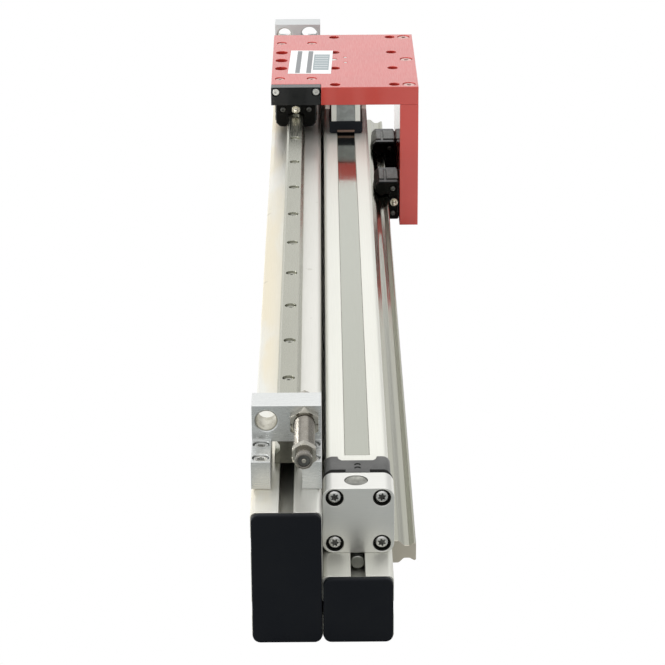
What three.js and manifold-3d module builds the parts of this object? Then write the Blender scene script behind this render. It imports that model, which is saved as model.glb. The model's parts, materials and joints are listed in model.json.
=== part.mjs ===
// Pneumatic linear slide unit: two slotted profiles side by side, a profile rail on each of
// them, a rodless cylinder on the low profile, and an angle carriage that runs on four runner
// blocks between two stop brackets. Millimetres, +Z up, travel along Y.
// Inside the unit group X = 0 is the seam between the two profiles and Y = 0 is the front face
// of the end caps; the group moves the origin to the bottom centre of the whole unit.
import * as THREE from 'three';
import { mergeVertices } from 'three/addons/utils/BufferGeometryUtils.js';
import Module from 'manifold-3d';

const wasm = await Module();
wasm.setup();

// ---- driving dimensions -------------------------------------------------------------------
const MODULE = 40;
const PROFILE_LENGTH = 968;
const END_CAP = 4;
const UNIT_LENGTH = PROFILE_LENGTH + 2 * END_CAP;
const PROFILE_CORNER = 3.2;
const PROFILE_BORE = 3.4;
const PROFILE_CORE = { halfWidth: 12, low: 34, high: 46 };
const CAP_CORNER = 4.5;
const CAP_INSET = 0.35;
const SLOT = { mouth: 8.2, lip: 4.5, chamber: 16.5, straight: 7.5, floor: 9, depth: 12 };

const RAIL = { height: 15, topStart: 68, sideStart: 72, firstHole: 98, pitch: 60 };
const RAIL_HOLE = { radius: 2.25, cup: 3.75, cupDepth: 5.3 };
const TOP_RAIL_X = -MODULE / 2;
const SIDE_RAIL_Z = MODULE / 2;

const RUNNER = { halfWidth: 17, height: 24.5, gap: 4, corner: 4, body: 24, screwX: 13 };
const RUNNER_CAP = { halfWidth: 16, height: 24, gap: 4.5, corner: 2, length: 8.5 };
const RUNNER_LENGTH = RUNNER.body + 2 * RUNNER_CAP.length;
const NIPPLE_Z = 20;

const PLATE = { left: -40, right: 79.5, length: 160, thickness: 15 };
const PLATE_Z = 2 * MODULE + RUNNER.height;
const PLATE_TOP = PLATE_Z + PLATE.thickness;
const CARRIAGE_Y = 775;
const CARRIAGE_FRONT = CARRIAGE_Y - PLATE.length / 2;
const RUNNER_OFFSET = 54;
const PLATE_SCREW = { dx: 13, radius: 2.3, cup: 4, cupDepth: 5 };
const LEG_SCREW = { x: 72, dy: [-72, 2, 72], radius: 3.3, cup: 5, cupDepth: 6, tap: 2.5, tapDepth: 18 };
const PAYLOAD_HOLE = { x: [12, 60], dy: [-72, -24, 24, 72], radius: 4.2 };
const EDGE_HOLE = { x: -32.5, dy: [-24, 0, 24], radius: 5 };
const PIN_HOLE = { x: -24.5, dy: -37.5, radius: 2.2 };
const LEG = { inner: MODULE + RUNNER.height, bottom: 1 };
const STOP_PLATE = { width: 40.5, thickness: 10, screwX: [-36, -3.5], screwZ: 115.5 };

const BRACKET = { start: 33.5, bridge: 63, end: 82, footTop: 97, archTop: 96, top: 118.4, gap: 17.5 };
const BRACKET_SCREWS = { x: 14.5, y: [39.5, 57.5], seat: 91, hole: 2.8, cup: 4.75, tapEnd: 69 };
const STOP_HOLE = { x: -31.5, z: 109, radius: 6.25 };
const SHOCK_HOLE = { x: -9.75, z: 109, radius: 7 };
const SHOCK = { front: 8.25, nose: 5, thread: 6, end: 88, collar: [16, 21], collarRadius: 7.6 };
const SHOCK_ROD = { start: 72, tip: 97.5, radius: 2 };
const LOCK_NUT = { acrossFlats: 16, bore: 6.25, front: 57.5, rear: 86.5 };

const CYLINDER = { x: 20.5, z: 60.3, halfWidth: 18, halfHeight: 19.5, corner: 3, bore: 12.5, slot: 6 };
const CYLINDER_TOP = CYLINDER.z + CYLINDER.halfHeight;
const SENSOR_GROOVE = { depth: 3.5, low: 11, high: 6 };
const HEAD = { start: 32.5, end: 53.5, halfWidth: 20.4, halfHeight: 20.3, corner: 6 };
const HEAD_SCREWS = { dx: 13.4, dz: 14.3, seat: 4.6, cup: 4.85, hole: 2.8, tapDepth: 12.5 };
const PORT = { y: 43.5, radius: 4.3, plugX: 19.4, plug: 6.3, plugHole: 6.6, plugDepth: 6 };
const CLAMP = { start: 53.75, end: 75, notch: 70, tongue: 57.25, halfWidth: 19, corner: 4.5, skirt: 72 };
const CLAMP_CUTS = { low: CYLINDER_TOP - 2, tongue: 7, ear: 11, clearance: 0.25 };
const CLAMP_TOP = CYLINDER_TOP + 1;
const BAND = { start: 79, halfWidth: 7, thickness: 0.75, clearance: 0.3 };
const PISTON = { half: 50, land: 12.1, groove: 10.5, nose: 9 };
const WIPER = { halfLength: 79, halfWidth: 13.5, top: 90 };
const DRIVER = { halfLength: 78, halfWidth: 11.75, recess: 7.5 };

const FINE = 16;
const COARSE = 10;

// ---- materials ----------------------------------------------------------------------------
function finish(color, roughness, metalness) {
  return new THREE.MeshStandardMaterial({ color, roughness, metalness });
}

const MATERIAL = {
  anodised: finish(0xe6e6e0, 0.45, 0.6),
  milled: finish(0xc4c8c8, 0.4, 0.9),
  redAnodised: finish(0xb23a36, 0.4, 0.5),
  railSteel: finish(0x9b9a93, 0.3, 1),
  runnerSteel: finish(0x4a4a46, 0.35, 0.9),
  bandSteel: finish(0xb4b3ac, 0.3, 1),
  chrome: finish(0xc8c4bf, 0.2, 1),
  screwSteel: finish(0xb9bab8, 0.3, 1),
  brass: finish(0xcbb27a, 0.3, 1),
  blackPlastic: finish(0x1c1d20, 0.55, 0),
  greyPlastic: finish(0x55565a, 0.6, 0),
  blackAnodised: finish(0x17181a, 0.5, 0.3),
};

// ---- unit group ---------------------------------------------------------------------------
const unit = new THREE.Group();
unit.position.set(-(PLATE.left + PLATE.right) / 2, -UNIT_LENGTH / 2, 0);

function add(name, geometry, material) {
  const mesh = new THREE.Mesh(geometry, material);
  mesh.name = name;
  unit.add(mesh);
}

// ---- solids and cuts ----------------------------------------------------------------------
function toSolid(geometry) {
  const bare = geometry.clone();
  bare.deleteAttribute('normal');
  bare.deleteAttribute('uv');
  const merged = mergeVertices(bare, 1e-4);
  return new wasm.Manifold(new wasm.Mesh({
    numProp: 3,
    vertProperties: new Float32Array(merged.attributes.position.array),
    triVerts: new Uint32Array(merged.index.array),
  }));
}

function toGeometry(solid) {
  const mesh = solid.getMesh();
  const geometry = new THREE.BufferGeometry();
  geometry.setAttribute('position', new THREE.BufferAttribute(new Float32Array(mesh.vertProperties), 3));
  geometry.setIndex(new THREE.BufferAttribute(new Uint32Array(mesh.triVerts), 1));
  geometry.computeVertexNormals();
  return geometry;
}

function cut(geometry, tools) {
  return toGeometry(tools.reduce((solid, tool) => solid.subtract(toSolid(tool)), toSolid(geometry)));
}

function join(geometry, extras) {
  return toGeometry(extras.reduce((solid, extra) => solid.add(toSolid(extra)), toSolid(geometry)));
}

// A box from its lowest to its highest corner.
function block(x0, x1, y0, y1, z0, z1) {
  const geometry = new THREE.BoxGeometry(x1 - x0, y1 - y0, z1 - z0);
  return geometry.translate((x0 + x1) / 2, (y0 + y1) / 2, (z0 + z1) / 2);
}

function outline(points) {
  return new THREE.Shape(points.map(([x, y]) => new THREE.Vector2(x, y)));
}

function roundedRectangle(x0, z0, x1, z1, radius) {
  const shape = new THREE.Shape();
  shape.absarc(x1 - radius, z0 + radius, radius, -Math.PI / 2, 0, false);
  shape.absarc(x1 - radius, z1 - radius, radius, 0, Math.PI / 2, false);
  shape.absarc(x0 + radius, z1 - radius, radius, Math.PI / 2, Math.PI, false);
  shape.absarc(x0 + radius, z0 + radius, radius, Math.PI, Math.PI * 1.5, false);
  return shape;
}

// Extrudes a shape drawn in X and Z from y0 to y1.
function alongY(shape, y0, y1, curveSegments = 3) {
  const settings = { depth: y1 - y0, bevelEnabled: false, curveSegments };
  const geometry = new THREE.ExtrudeGeometry(shape, settings);
  return geometry.rotateX(Math.PI / 2).translate(0, y1, 0);
}

function rod(axis, centre, radius, from, to, segments = COARSE) {
  const geometry = new THREE.CylinderGeometry(radius, radius, to - from, segments);
  const middle = (from + to) / 2;
  if (axis === 'x') return geometry.rotateZ(Math.PI / 2).translate(middle, centre[0], centre[1]);
  if (axis === 'y') return geometry.translate(centre[0], middle, centre[1]);
  return geometry.rotateX(Math.PI / 2).translate(centre[0], centre[1], middle);
}

// Turns a profile of [radius, height] points about +Y.
function turned(points, segments = FINE) {
  return new THREE.LatheGeometry(points.map(([r, y]) => new THREE.Vector2(r, y)), segments);
}

// Y range of something between two distances from one end of the unit.
function fromEnd(end, a, b) {
  return end === 'front' ? [a, b] : [UNIT_LENGTH - b, UNIT_LENGTH - a];
}

// ---- profiles -----------------------------------------------------------------------------
// Cross-section of one T-slot, opening at z = 0 and running down to its floor.
function slotOutline() {
  const { mouth, lip, chamber, straight, floor, depth } = SLOT;
  return [
    [-mouth / 2, 1], [-mouth / 2, -lip], [-chamber / 2, -lip], [-chamber / 2, -straight],
    [-floor / 2, -depth], [floor / 2, -depth], [chamber / 2, -straight], [chamber / 2, -lip],
    [mouth / 2, -lip], [mouth / 2, 1],
  ];
}

// A T-slot cutter whose mouth is at (x, z) and faces along angle, counted from +Z towards +X.
function slotCutter(x, z, angle) {
  const c = Math.round(Math.cos(angle));
  const s = Math.round(Math.sin(angle));
  const points = slotOutline().map(([u, v]) => [x + u * c + v * s, z - u * s + v * c]);
  return alongY(outline(points), END_CAP - 1, END_CAP + PROFILE_LENGTH + 1);
}

function profile(x0, modules) {
  const top = modules * MODULE;
  const middle = x0 + MODULE / 2;
  const section = roundedRectangle(x0, 0, x0 + MODULE, top, PROFILE_CORNER);
  const body = alongY(section, END_CAP, END_CAP + PROFILE_LENGTH);
  const cutters = [slotCutter(middle, top, 0), slotCutter(middle, 0, Math.PI)];
  for (let k = 0; k < modules; k += 1) {
    const z = (k + 0.5) * MODULE;
    cutters.push(slotCutter(x0 + MODULE, z, Math.PI / 2));
    cutters.push(slotCutter(x0, z, -Math.PI / 2));
    cutters.push(rod('y', [middle, z], PROFILE_BORE, 0, UNIT_LENGTH));
  }
  return { body, cutters, middle };
}

function bracketScrewPlaces() {
  const places = [];
  for (const end of ['front', 'rear']) {
    for (const [row, y] of BRACKET_SCREWS.y.entries()) {
      for (const side of [-1, 1]) {
        places.push({
          name: `${end}_bracket_screw_${2 * row + (side > 0 ? 2 : 1)}`,
          x: TOP_RAIL_X + side * BRACKET_SCREWS.x,
          y: fromEnd(end, y, y)[0],
        });
      }
    }
  }
  return places;
}

function tallProfile() {
  const { body, cutters, middle } = profile(-MODULE, 2);
  const { halfWidth, low, high } = PROFILE_CORE;
  cutters.push(block(middle - halfWidth, middle + halfWidth, 0, UNIT_LENGTH, low, high));
  for (const { x, y } of bracketScrewPlaces()) {
    cutters.push(rod('z', [x, y], BRACKET_SCREWS.hole, BRACKET_SCREWS.tapEnd, 2 * MODULE + 1, 8));
  }
  return cut(body, cutters);
}

function lowProfile() {
  const { body, cutters } = profile(0, 1);
  return cut(body, cutters);
}

function endCap(x0, height, y0) {
  const section = roundedRectangle(x0 + CAP_INSET, 0, x0 + MODULE - CAP_INSET, height, CAP_CORNER);
  return alongY(section, y0, y0 + END_CAP);
}

// ---- rails --------------------------------------------------------------------------------
// Right half of the rail's section as [half width, height], bottom to top.
const RAIL_FLANK = [
  [7.2, 0], [7.2, 4.4], [6.7, 5.4], [4.3, 7.8], [4.1, 8.3], [4.1, 11.2], [5.5, 13.4], [5.6, 14.4], [5.1, 15],
];
// Right half of the channel that a runner block needs to clear the rail.
const RUNNER_CHANNEL = [
  [8, 3], [8, 4.8], [7.4, 6], [5.1, 8.3], [4.8, 8.9], [4.8, 10.7], [6.3, 12.9], [6.3, 15.8],
];

function mirrored(half) {
  return [...half, ...half.map(([u, v]) => [-u, v]).reverse()];
}

// Rail along Y with its base on z = 0, its centre on x = 0 and a row of cupped screw holes.
function rail(start) {
  const body = alongY(outline(mirrored(RAIL_FLANK)), start, UNIT_LENGTH - start);
  const cutters = [];
  for (let y = RAIL.firstHole; y < UNIT_LENGTH - start; y += RAIL.pitch) {
    cutters.push(rod('z', [0, y], RAIL_HOLE.radius, -1, RAIL.height));
    cutters.push(rod('z', [0, y], RAIL_HOLE.cup, RAIL.height - RAIL_HOLE.cupDepth, RAIL.height + 1));
  }
  return cut(body, cutters);
}

function onTop(geometry) {
  return geometry.translate(TOP_RAIL_X, 0, 2 * MODULE);
}

function onSide(geometry) {
  return geometry.rotateY(Math.PI / 2).translate(MODULE, 0, SIDE_RAIL_Z);
}

// ---- runner blocks ------------------------------------------------------------------------
// A length of runner block from y0 to y1, with chamfered corners and its channel cut out.
function runnerSlice({ halfWidth, height, gap, corner }, y0, y1) {
  const half = [
    [halfWidth - corner, gap], [halfWidth, gap + corner], [halfWidth, height - 1], [halfWidth - 1, height],
  ];
  const channel = alongY(outline(mirrored(RUNNER_CHANNEL)), y0 - 1, y1 + 1);
  return cut(alongY(outline(mirrored(half)), y0, y1), [channel]);
}

function runnerBody(y) {
  const slice = runnerSlice(RUNNER, y - RUNNER.body / 2, y + RUNNER.body / 2);
  const holes = [-1, 1].map((side) => (
    rod('z', [side * RUNNER.screwX, y], 2, RUNNER.height - 7, RUNNER.height + 1, 8)
  ));
  return cut(slice, holes);
}

function runnerCap(y, side) {
  const inner = y + side * RUNNER.body / 2;
  const outer = inner + side * RUNNER_CAP.length;
  const y0 = Math.min(inner, outer);
  const slice = runnerSlice(RUNNER_CAP, y0, y0 + RUNNER_CAP.length);
  return cut(slice, [rod('y', [0, NIPPLE_Z], 1.6, y0 - 1, y0 + RUNNER_CAP.length + 1, 8)]);
}

// Grease nipple: shank in the end cap, hexagon, then a turned ball head.
function nipple(y, side) {
  const points = [
    [0, -4], [1.3, -4], [1.3, 0.3], [3.6, 0.3], [3.6, 4.5], [2, 5], [2, 6.5], [2.6, 7.5], [1.4, 9], [0, 9],
  ];
  const geometry = turned(points, COARSE);
  if (side < 0) geometry.rotateX(Math.PI);
  return geometry.translate(0, y + side * (RUNNER_LENGTH / 2), NIPPLE_Z);
}

function addRunners() {
  for (const [railName, place] of [['top', onTop], ['side', onSide]]) {
    for (const [label, side] of [['front', -1], ['rear', 1]]) {
      const y = CARRIAGE_Y + side * RUNNER_OFFSET;
      const name = `${railName}_${label}_runner`;
      add(name, place(runnerBody(y)), MATERIAL.runnerSteel);
      add(`${name}_front_cap`, place(runnerCap(y, -1)), MATERIAL.blackPlastic);
      add(`${name}_rear_cap`, place(runnerCap(y, 1)), MATERIAL.blackPlastic);
      add(`${name}_nipple`, place(nipple(y, side)), MATERIAL.brass);
    }
  }
}

// ---- carriage plates ----------------------------------------------------------------------
// Cutters for a screw hole through the top plate with a cup for the screw's head.
function cuppedHole(x, y, { radius, cup, cupDepth }) {
  return [
    rod('z', [x, y], radius, PLATE_Z - 1, PLATE_TOP, 8),
    rod('z', [x, y], cup, PLATE_TOP - cupDepth, PLATE_TOP + 1),
  ];
}

function plainHole(x, y, radius) {
  return rod('z', [x, y], radius, PLATE_Z - 1, PLATE_TOP + 1);
}

function topPlate() {
  const y1 = CARRIAGE_FRONT + PLATE.length;
  const body = block(PLATE.left, PLATE.right, CARRIAGE_FRONT, y1, PLATE_Z, PLATE_TOP);
  const recessX = PLATE.left + STOP_PLATE.width;
  const recessY = CARRIAGE_FRONT + STOP_PLATE.thickness;
  const cutters = [
    block(PLATE.left - 1, recessX, CARRIAGE_FRONT - 1, recessY, PLATE_Z - 1, PLATE_TOP + 1),
    plainHole(PIN_HOLE.x, CARRIAGE_Y + PIN_HOLE.dy, PIN_HOLE.radius),
  ];
  for (const y of [CARRIAGE_Y - RUNNER_OFFSET, CARRIAGE_Y + RUNNER_OFFSET]) {
    cutters.push(...cuppedHole(TOP_RAIL_X - PLATE_SCREW.dx, y, PLATE_SCREW));
    cutters.push(...cuppedHole(TOP_RAIL_X + PLATE_SCREW.dx, y, PLATE_SCREW));
  }
  for (const dy of LEG_SCREW.dy) {
    cutters.push(...cuppedHole(LEG_SCREW.x, CARRIAGE_Y + dy, LEG_SCREW));
  }
  for (const dy of EDGE_HOLE.dy) {
    cutters.push(plainHole(EDGE_HOLE.x, CARRIAGE_Y + dy, EDGE_HOLE.radius));
  }
  for (const x of PAYLOAD_HOLE.x) {
    for (const dy of PAYLOAD_HOLE.dy) {
      cutters.push(plainHole(x, CARRIAGE_Y + dy, PAYLOAD_HOLE.radius));
    }
  }
  return cut(body, cutters);
}

function sidePlate() {
  const y1 = CARRIAGE_FRONT + PLATE.length;
  const body = block(LEG.inner, PLATE.right, CARRIAGE_FRONT, y1, LEG.bottom, PLATE_Z);
  const cutters = [];
  for (const dy of LEG_SCREW.dy) {
    const place = [LEG_SCREW.x, CARRIAGE_Y + dy];
    cutters.push(rod('z', place, LEG_SCREW.tap, PLATE_Z - LEG_SCREW.tapDepth, PLATE_Z + 1, 8));
  }
  for (const side of [-1, 1]) {
    for (const dz of [-PLATE_SCREW.dx, PLATE_SCREW.dx]) {
      const place = [CARRIAGE_Y + side * RUNNER_OFFSET, SIDE_RAIL_Z + dz];
      cutters.push(rod('x', place, PLATE_SCREW.radius, LEG.inner - 1, PLATE.right, 8));
      cutters.push(rod('x', place, PLATE_SCREW.cup, PLATE.right - PLATE_SCREW.cupDepth, PLATE.right + 1));
    }
  }
  return cut(body, cutters);
}

function stopPlate() {
  const x1 = PLATE.left + STOP_PLATE.width - 0.25;
  const y1 = CARRIAGE_FRONT + STOP_PLATE.thickness;
  const body = block(PLATE.left, x1, CARRIAGE_FRONT, y1 - 0.25, PLATE_Z, PLATE_TOP);
  const cutters = [];
  for (const x of STOP_PLATE.screwX) {
    const place = [x, STOP_PLATE.screwZ];
    cutters.push(rod('y', place, 3.4, CARRIAGE_FRONT - 1, CARRIAGE_FRONT + 3.5));
    cutters.push(rod('y', place, 1.8, CARRIAGE_FRONT, y1 + 1, 8));
  }
  return cut(body, cutters);
}

// ---- stop brackets, screws and shock absorber ---------------------------------------------
function stopBracket(end) {
  const [y0, y1] = fromEnd(end, BRACKET.start, BRACKET.end);
  const [b0, b1] = fromEnd(end, BRACKET.bridge, BRACKET.end);
  const gap0 = TOP_RAIL_X - BRACKET.gap / 2;
  const gap1 = TOP_RAIL_X + BRACKET.gap / 2;
  const feet = block(-MODULE, 0, y0, y1, 2 * MODULE, BRACKET.footTop);
  const [f0, f1] = fromEnd(end, BRACKET.start - 1, BRACKET.bridge);
  const bridge = block(-MODULE, 0, b0, b1, BRACKET.archTop - 2, BRACKET.top);
  const cutters = [
    block(gap0, gap1, f0, f1, 2 * MODULE - 1, BRACKET.footTop + 1),
    block(gap0, gap1, b0 - 1, b1 + 1, 2 * MODULE - 1, BRACKET.archTop),
  ];
  for (const { x, z, radius } of [STOP_HOLE, SHOCK_HOLE]) {
    cutters.push(rod('y', [x, z], radius, b0 - 1, b1 + 1, FINE));
  }
  for (const distance of BRACKET_SCREWS.y) {
    for (const side of [-1, 1]) {
      const centre = [TOP_RAIL_X + side * BRACKET_SCREWS.x, fromEnd(end, distance, distance)[0]];
      cutters.push(rod('z', centre, BRACKET_SCREWS.hole, 2 * MODULE - 1, BRACKET.footTop, 8));
      cutters.push(rod('z', centre, BRACKET_SCREWS.cup, BRACKET_SCREWS.seat, BRACKET.footTop + 1));
    }
  }
  return cut(join(feet, [bridge]), cutters);
}

// Socket-head screw standing on y = 0 with its head above and its shank below.
function socketScrew(headRadius, headHeight, shankRadius, shankLength, keyRadius) {
  const body = turned([
    [0, -shankLength], [shankRadius, -shankLength], [shankRadius, 0], [headRadius, 0],
    [headRadius, headHeight - 0.5], [headRadius - 0.5, headHeight], [0, headHeight],
  ], COARSE);
  const key = rod('y', [0, 0], keyRadius, headHeight / 2, headHeight + 1, 6);
  return cut(body, [key]);
}

// Pan-head screw with a domed top and a shallow socket, standing on y = 0.
function panScrew(headRadius, headHeight, shankRadius, shankLength, keyRadius) {
  const body = turned([
    [0, -shankLength], [shankRadius, -shankLength], [shankRadius, 0], [headRadius, 0],
    [headRadius, headHeight * 0.35], [headRadius * 0.85, headHeight * 0.75],
    [headRadius * 0.5, headHeight], [0, headHeight],
  ], COARSE);
  return cut(body, [rod('y', [0, 0], keyRadius, headHeight * 0.5, headHeight + 1, 6)]);
}

function addBracketScrews() {
  for (const { name, x, y } of bracketScrewPlaces()) {
    const screw = socketScrew(4.25, 5, 2.5, 20, 2.3);
    add(name, screw.rotateX(Math.PI / 2).translate(x, y, BRACKET_SCREWS.seat + 0.25), MATERIAL.screwSteel);
  }
}

function lockNut(y0, y1) {
  const centre = [SHOCK_HOLE.x, SHOCK_HOLE.z];
  const nut = rod('y', centre, LOCK_NUT.acrossFlats / Math.sqrt(3), y0, y1, 6);
  return cut(nut, [rod('y', centre, LOCK_NUT.bore, y0 - 1, y1 + 1, FINE)]);
}

// Threaded tube with a plain nose, a hexagonal collar behind it and the rod's bore at the back.
function shockBody() {
  const { front, nose, thread, end, collar } = SHOCK;
  const barrel = turned([
    [0, front], [nose - 0.7, front], [nose, front + 0.7], [nose, collar[0] + 1],
    [thread, collar[0] + 2], [thread, end - 0.5], [thread - 0.5, end], [0, end],
  ]);
  const hexagon = rod('y', [0, 0], SHOCK.collarRadius, collar[0], collar[1], 6);
  const socket = rod('y', [0, 0], 2.6, front - 1, front + 3, 6);
  const bore = rod('y', [0, 0], SHOCK_ROD.radius + 0.5, SHOCK_ROD.start - 12, end + 1);
  return cut(join(barrel, [hexagon]), [socket, bore]).translate(SHOCK_HOLE.x, 0, SHOCK_HOLE.z);
}

function shockRod() {
  const { start, tip, radius } = SHOCK_ROD;
  const points = [[0, start], [radius, start], [radius, tip - 0.5], [radius - 0.5, tip], [0, tip]];
  return turned(points, COARSE).translate(SHOCK_HOLE.x, 0, SHOCK_HOLE.z);
}

// ---- rodless cylinder ---------------------------------------------------------------------
function headScrewPlaces(end) {
  const places = [];
  for (const dz of [1, -1]) {
    for (const dx of [-1, 1]) {
      places.push({
        name: `${end}_head_screw_${places.length + 1}`,
        centre: [CYLINDER.x + dx * HEAD_SCREWS.dx, CYLINDER.z + dz * HEAD_SCREWS.dz],
      });
    }
  }
  return places;
}

function barrel() {
  const { x, z, halfWidth, halfHeight, corner, bore, slot } = CYLINDER;
  const [y0, y1] = [HEAD.end, UNIT_LENGTH - HEAD.end];
  const [band0, band1] = [BAND.start, UNIT_LENGTH - BAND.start];
  const shell = roundedRectangle(x - halfWidth, z - halfHeight, x + halfWidth, CYLINDER_TOP, corner);
  const recess = BAND.halfWidth + BAND.clearance;
  const recessZ = CYLINDER_TOP - BAND.thickness;
  const cutters = [
    rod('y', [x, z], bore, y0 - 1, y1 + 1, 32),
    block(x - slot / 2, x + slot / 2, band0, band1, z, CYLINDER_TOP + 1),
    block(x - recess, x + recess, band0 - 0.25, band1 + 0.25, recessZ, CYLINDER_TOP + 1),
  ];
  for (const face of [x - halfWidth, x + halfWidth]) {
    const { depth, low, high } = SENSOR_GROOVE;
    cutters.push(block(face - depth, face + depth, y0 - 1, y1 + 1, z - low, z - high));
  }
  for (const end of ['front', 'rear']) {
    cutters.push(...clampSeat(end));
    const [s0, s1] = fromEnd(end, HEAD.end - 1, HEAD.end + HEAD_SCREWS.tapDepth);
    for (const { centre } of headScrewPlaces(end)) {
      cutters.push(rod('y', centre, HEAD_SCREWS.hole, s0, s1, 8));
    }
  }
  return cut(alongY(shell, y0, y1), cutters);
}

// Cutters for the step in the barrel's top that a band clamp lies in.
function clampSeat(end) {
  const { x, halfWidth } = CYLINDER;
  const { low, ear, clearance } = CLAMP_CUTS;
  const [y0, y1] = fromEnd(end, HEAD.end - 1, CLAMP.notch);
  const [e0, e1] = fromEnd(end, HEAD.end - 1, CLAMP.end + clearance);
  const side = halfWidth + 1;
  return [
    block(x - side, x + side, y0, y1, low, CLAMP_TOP),
    block(x - side, x - ear, e0, e1, low, CLAMP_TOP),
    block(x + ear, x + side, e0, e1, low, CLAMP_TOP),
  ];
}

function cylinderHead(end) {
  const { x, z } = CYLINDER;
  const { halfWidth, halfHeight, corner } = HEAD;
  const [y0, y1] = fromEnd(end, HEAD.start, HEAD.end);
  const shape = roundedRectangle(x - halfWidth, z - halfHeight, x + halfWidth, z + halfHeight, corner);
  const portY = fromEnd(end, PORT.y, PORT.y)[0];
  const [k0, k1] = fromEnd(end, PORT.y - 1.5, HEAD.end + 1);
  const cutters = [
    rod('x', [portY, z], PORT.radius, x, x + halfWidth + 1),
    rod('y', [x, z], 3.5, k0, k1, 8),
  ];
  if (end === 'front') {
    const top = z + halfHeight;
    cutters.push(rod('z', [PORT.plugX, portY], PORT.plugHole, top - PORT.plugDepth, top + 1, FINE));
  }
  const [s0, s1] = fromEnd(end, HEAD.start - 1, HEAD.end + 1);
  const [c0, c1] = fromEnd(end, HEAD.start - 1, HEAD.start + HEAD_SCREWS.seat);
  for (const { centre } of headScrewPlaces(end)) {
    cutters.push(rod('y', centre, HEAD_SCREWS.hole, s0, s1, 8));
    cutters.push(rod('y', centre, HEAD_SCREWS.cup, c0, c1, FINE));
  }
  return cut(alongY(shape, y0, y1), cutters);
}

function portPlug() {
  const top = CYLINDER.z + HEAD.halfHeight;
  return rod('z', [PORT.plugX, PORT.y], PORT.plug, top - PORT.plugDepth + 0.5, top - 0.5, FINE);
}

function addHeadScrews(end) {
  const depth = HEAD.start + HEAD_SCREWS.seat - 0.25;
  const seat = fromEnd(end, depth, depth)[0];
  for (const { name, centre } of headScrewPlaces(end)) {
    const screw = panScrew(4, 3, 2.5, 28, 1.6);
    if (end === 'front') screw.rotateX(Math.PI);
    add(name, screw.translate(centre[0], seat, centre[1]), MATERIAL.screwSteel);
  }
}

// Plastic cover over the band ends: a tongue against the head, two ears along the barrel and
// a thin skirt down each side.
function bandClamp(end) {
  const { x, halfWidth } = CYLINDER;
  const { low, tongue, ear, clearance } = CLAMP_CUTS;
  const bottom = CLAMP.skirt - 2 * CLAMP.corner;
  const shape = roundedRectangle(x - CLAMP.halfWidth, bottom, x + CLAMP.halfWidth, CLAMP_TOP, CLAMP.corner);
  const [y0, y1] = fromEnd(end, CLAMP.start, CLAMP.end);
  const [t0, t1] = fromEnd(end, CLAMP.start - 1, CLAMP.tongue);
  const [n0, n1] = fromEnd(end, CLAMP.notch - clearance, CLAMP.end + 1);
  const inside = halfWidth + 0.15;
  const notch = ear + clearance;
  return cut(alongY(shape, y0, y1), [
    block(x - inside, x + inside, y0 - 1, y1 + 1, bottom - 1, low),
    block(x - MODULE, x + MODULE, y0 - 1, y1 + 1, bottom - 1, CLAMP.skirt),
    block(x - MODULE, x - tongue, t0, t1, bottom, CLAMP_TOP + 1),
    block(x + tongue, x + MODULE, t0, t1, bottom, CLAMP_TOP + 1),
    block(x - notch, x + notch, n0, n1, low - 1, CLAMP_TOP + 1),
  ]);
}

function coverBand() {
  const { x } = CYLINDER;
  const { start, halfWidth, thickness } = BAND;
  const low = CYLINDER_TOP - thickness;
  return block(x - halfWidth, x + halfWidth, start, UNIT_LENGTH - start, low, CYLINDER_TOP);
}

function sealingBand() {
  const { x, z, bore, slot } = CYLINDER;
  const half = slot / 2 - BAND.clearance;
  const low = z + bore + BAND.clearance;
  return block(x - half, x + half, BAND.start + 1, UNIT_LENGTH - BAND.start - 1, low, low + 1);
}

// Piston with two seal lands; it clears the sealing band above it.
function piston() {
  const { land, groove, nose } = PISTON;
  const half = [
    [land, PISTON.half], [land, 40], [groove, 39], [groove, 36], [land, 35], [land, 28], [nose, 27],
  ];
  const rear = half.map(([r, y]) => [r, -y]).reverse();
  const points = [[0, PISTON.half], ...half, ...rear, [0, -PISTON.half]].reverse();
  return turned(points).translate(CYLINDER.x, CARRIAGE_Y, CYLINDER.z);
}

function wiperHousing() {
  const { x } = CYLINDER;
  const { halfLength, halfWidth, top } = WIPER;
  const low = CYLINDER_TOP + 0.7;
  const shape = outline([
    [x - halfWidth, low], [x + halfWidth, low], [x + halfWidth, top - 2],
    [x + halfWidth - 1.5, top], [x - halfWidth + 1.5, top], [x - halfWidth, top - 2],
  ]);
  return alongY(shape, CARRIAGE_Y - halfLength, CARRIAGE_Y + halfLength);
}

// Driver bar between the cylinder and the plate, with a shallow recess in each end face.
function driver() {
  const { x } = CYLINDER;
  const { halfLength, halfWidth, recess } = DRIVER;
  const [y0, y1] = [CARRIAGE_Y - halfLength, CARRIAGE_Y + halfLength];
  const body = block(x - halfWidth, x + halfWidth, y0, y1, WIPER.top, PLATE_Z);
  const cutters = [y0, y1].map((y) => (
    block(x - recess, x + recess, y - 1, y + 1, WIPER.top - 1, PLATE_Z + 1)
  ));
  return cut(body, cutters);
}

// ---- assembly -----------------------------------------------------------------------------
add('tall_profile', tallProfile(), MATERIAL.anodised);
add('low_profile', lowProfile(), MATERIAL.anodised);
for (const [end, y] of [['front', 0], ['rear', UNIT_LENGTH - END_CAP]]) {
  add(`tall_${end}_end_cap`, endCap(-MODULE, 2 * MODULE, y), MATERIAL.blackPlastic);
  add(`low_${end}_end_cap`, endCap(0, MODULE, y), MATERIAL.blackPlastic);
}
add('top_rail', onTop(rail(RAIL.topStart)), MATERIAL.railSteel);
add('side_rail', onSide(rail(RAIL.sideStart)), MATERIAL.railSteel);
addRunners();

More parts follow.
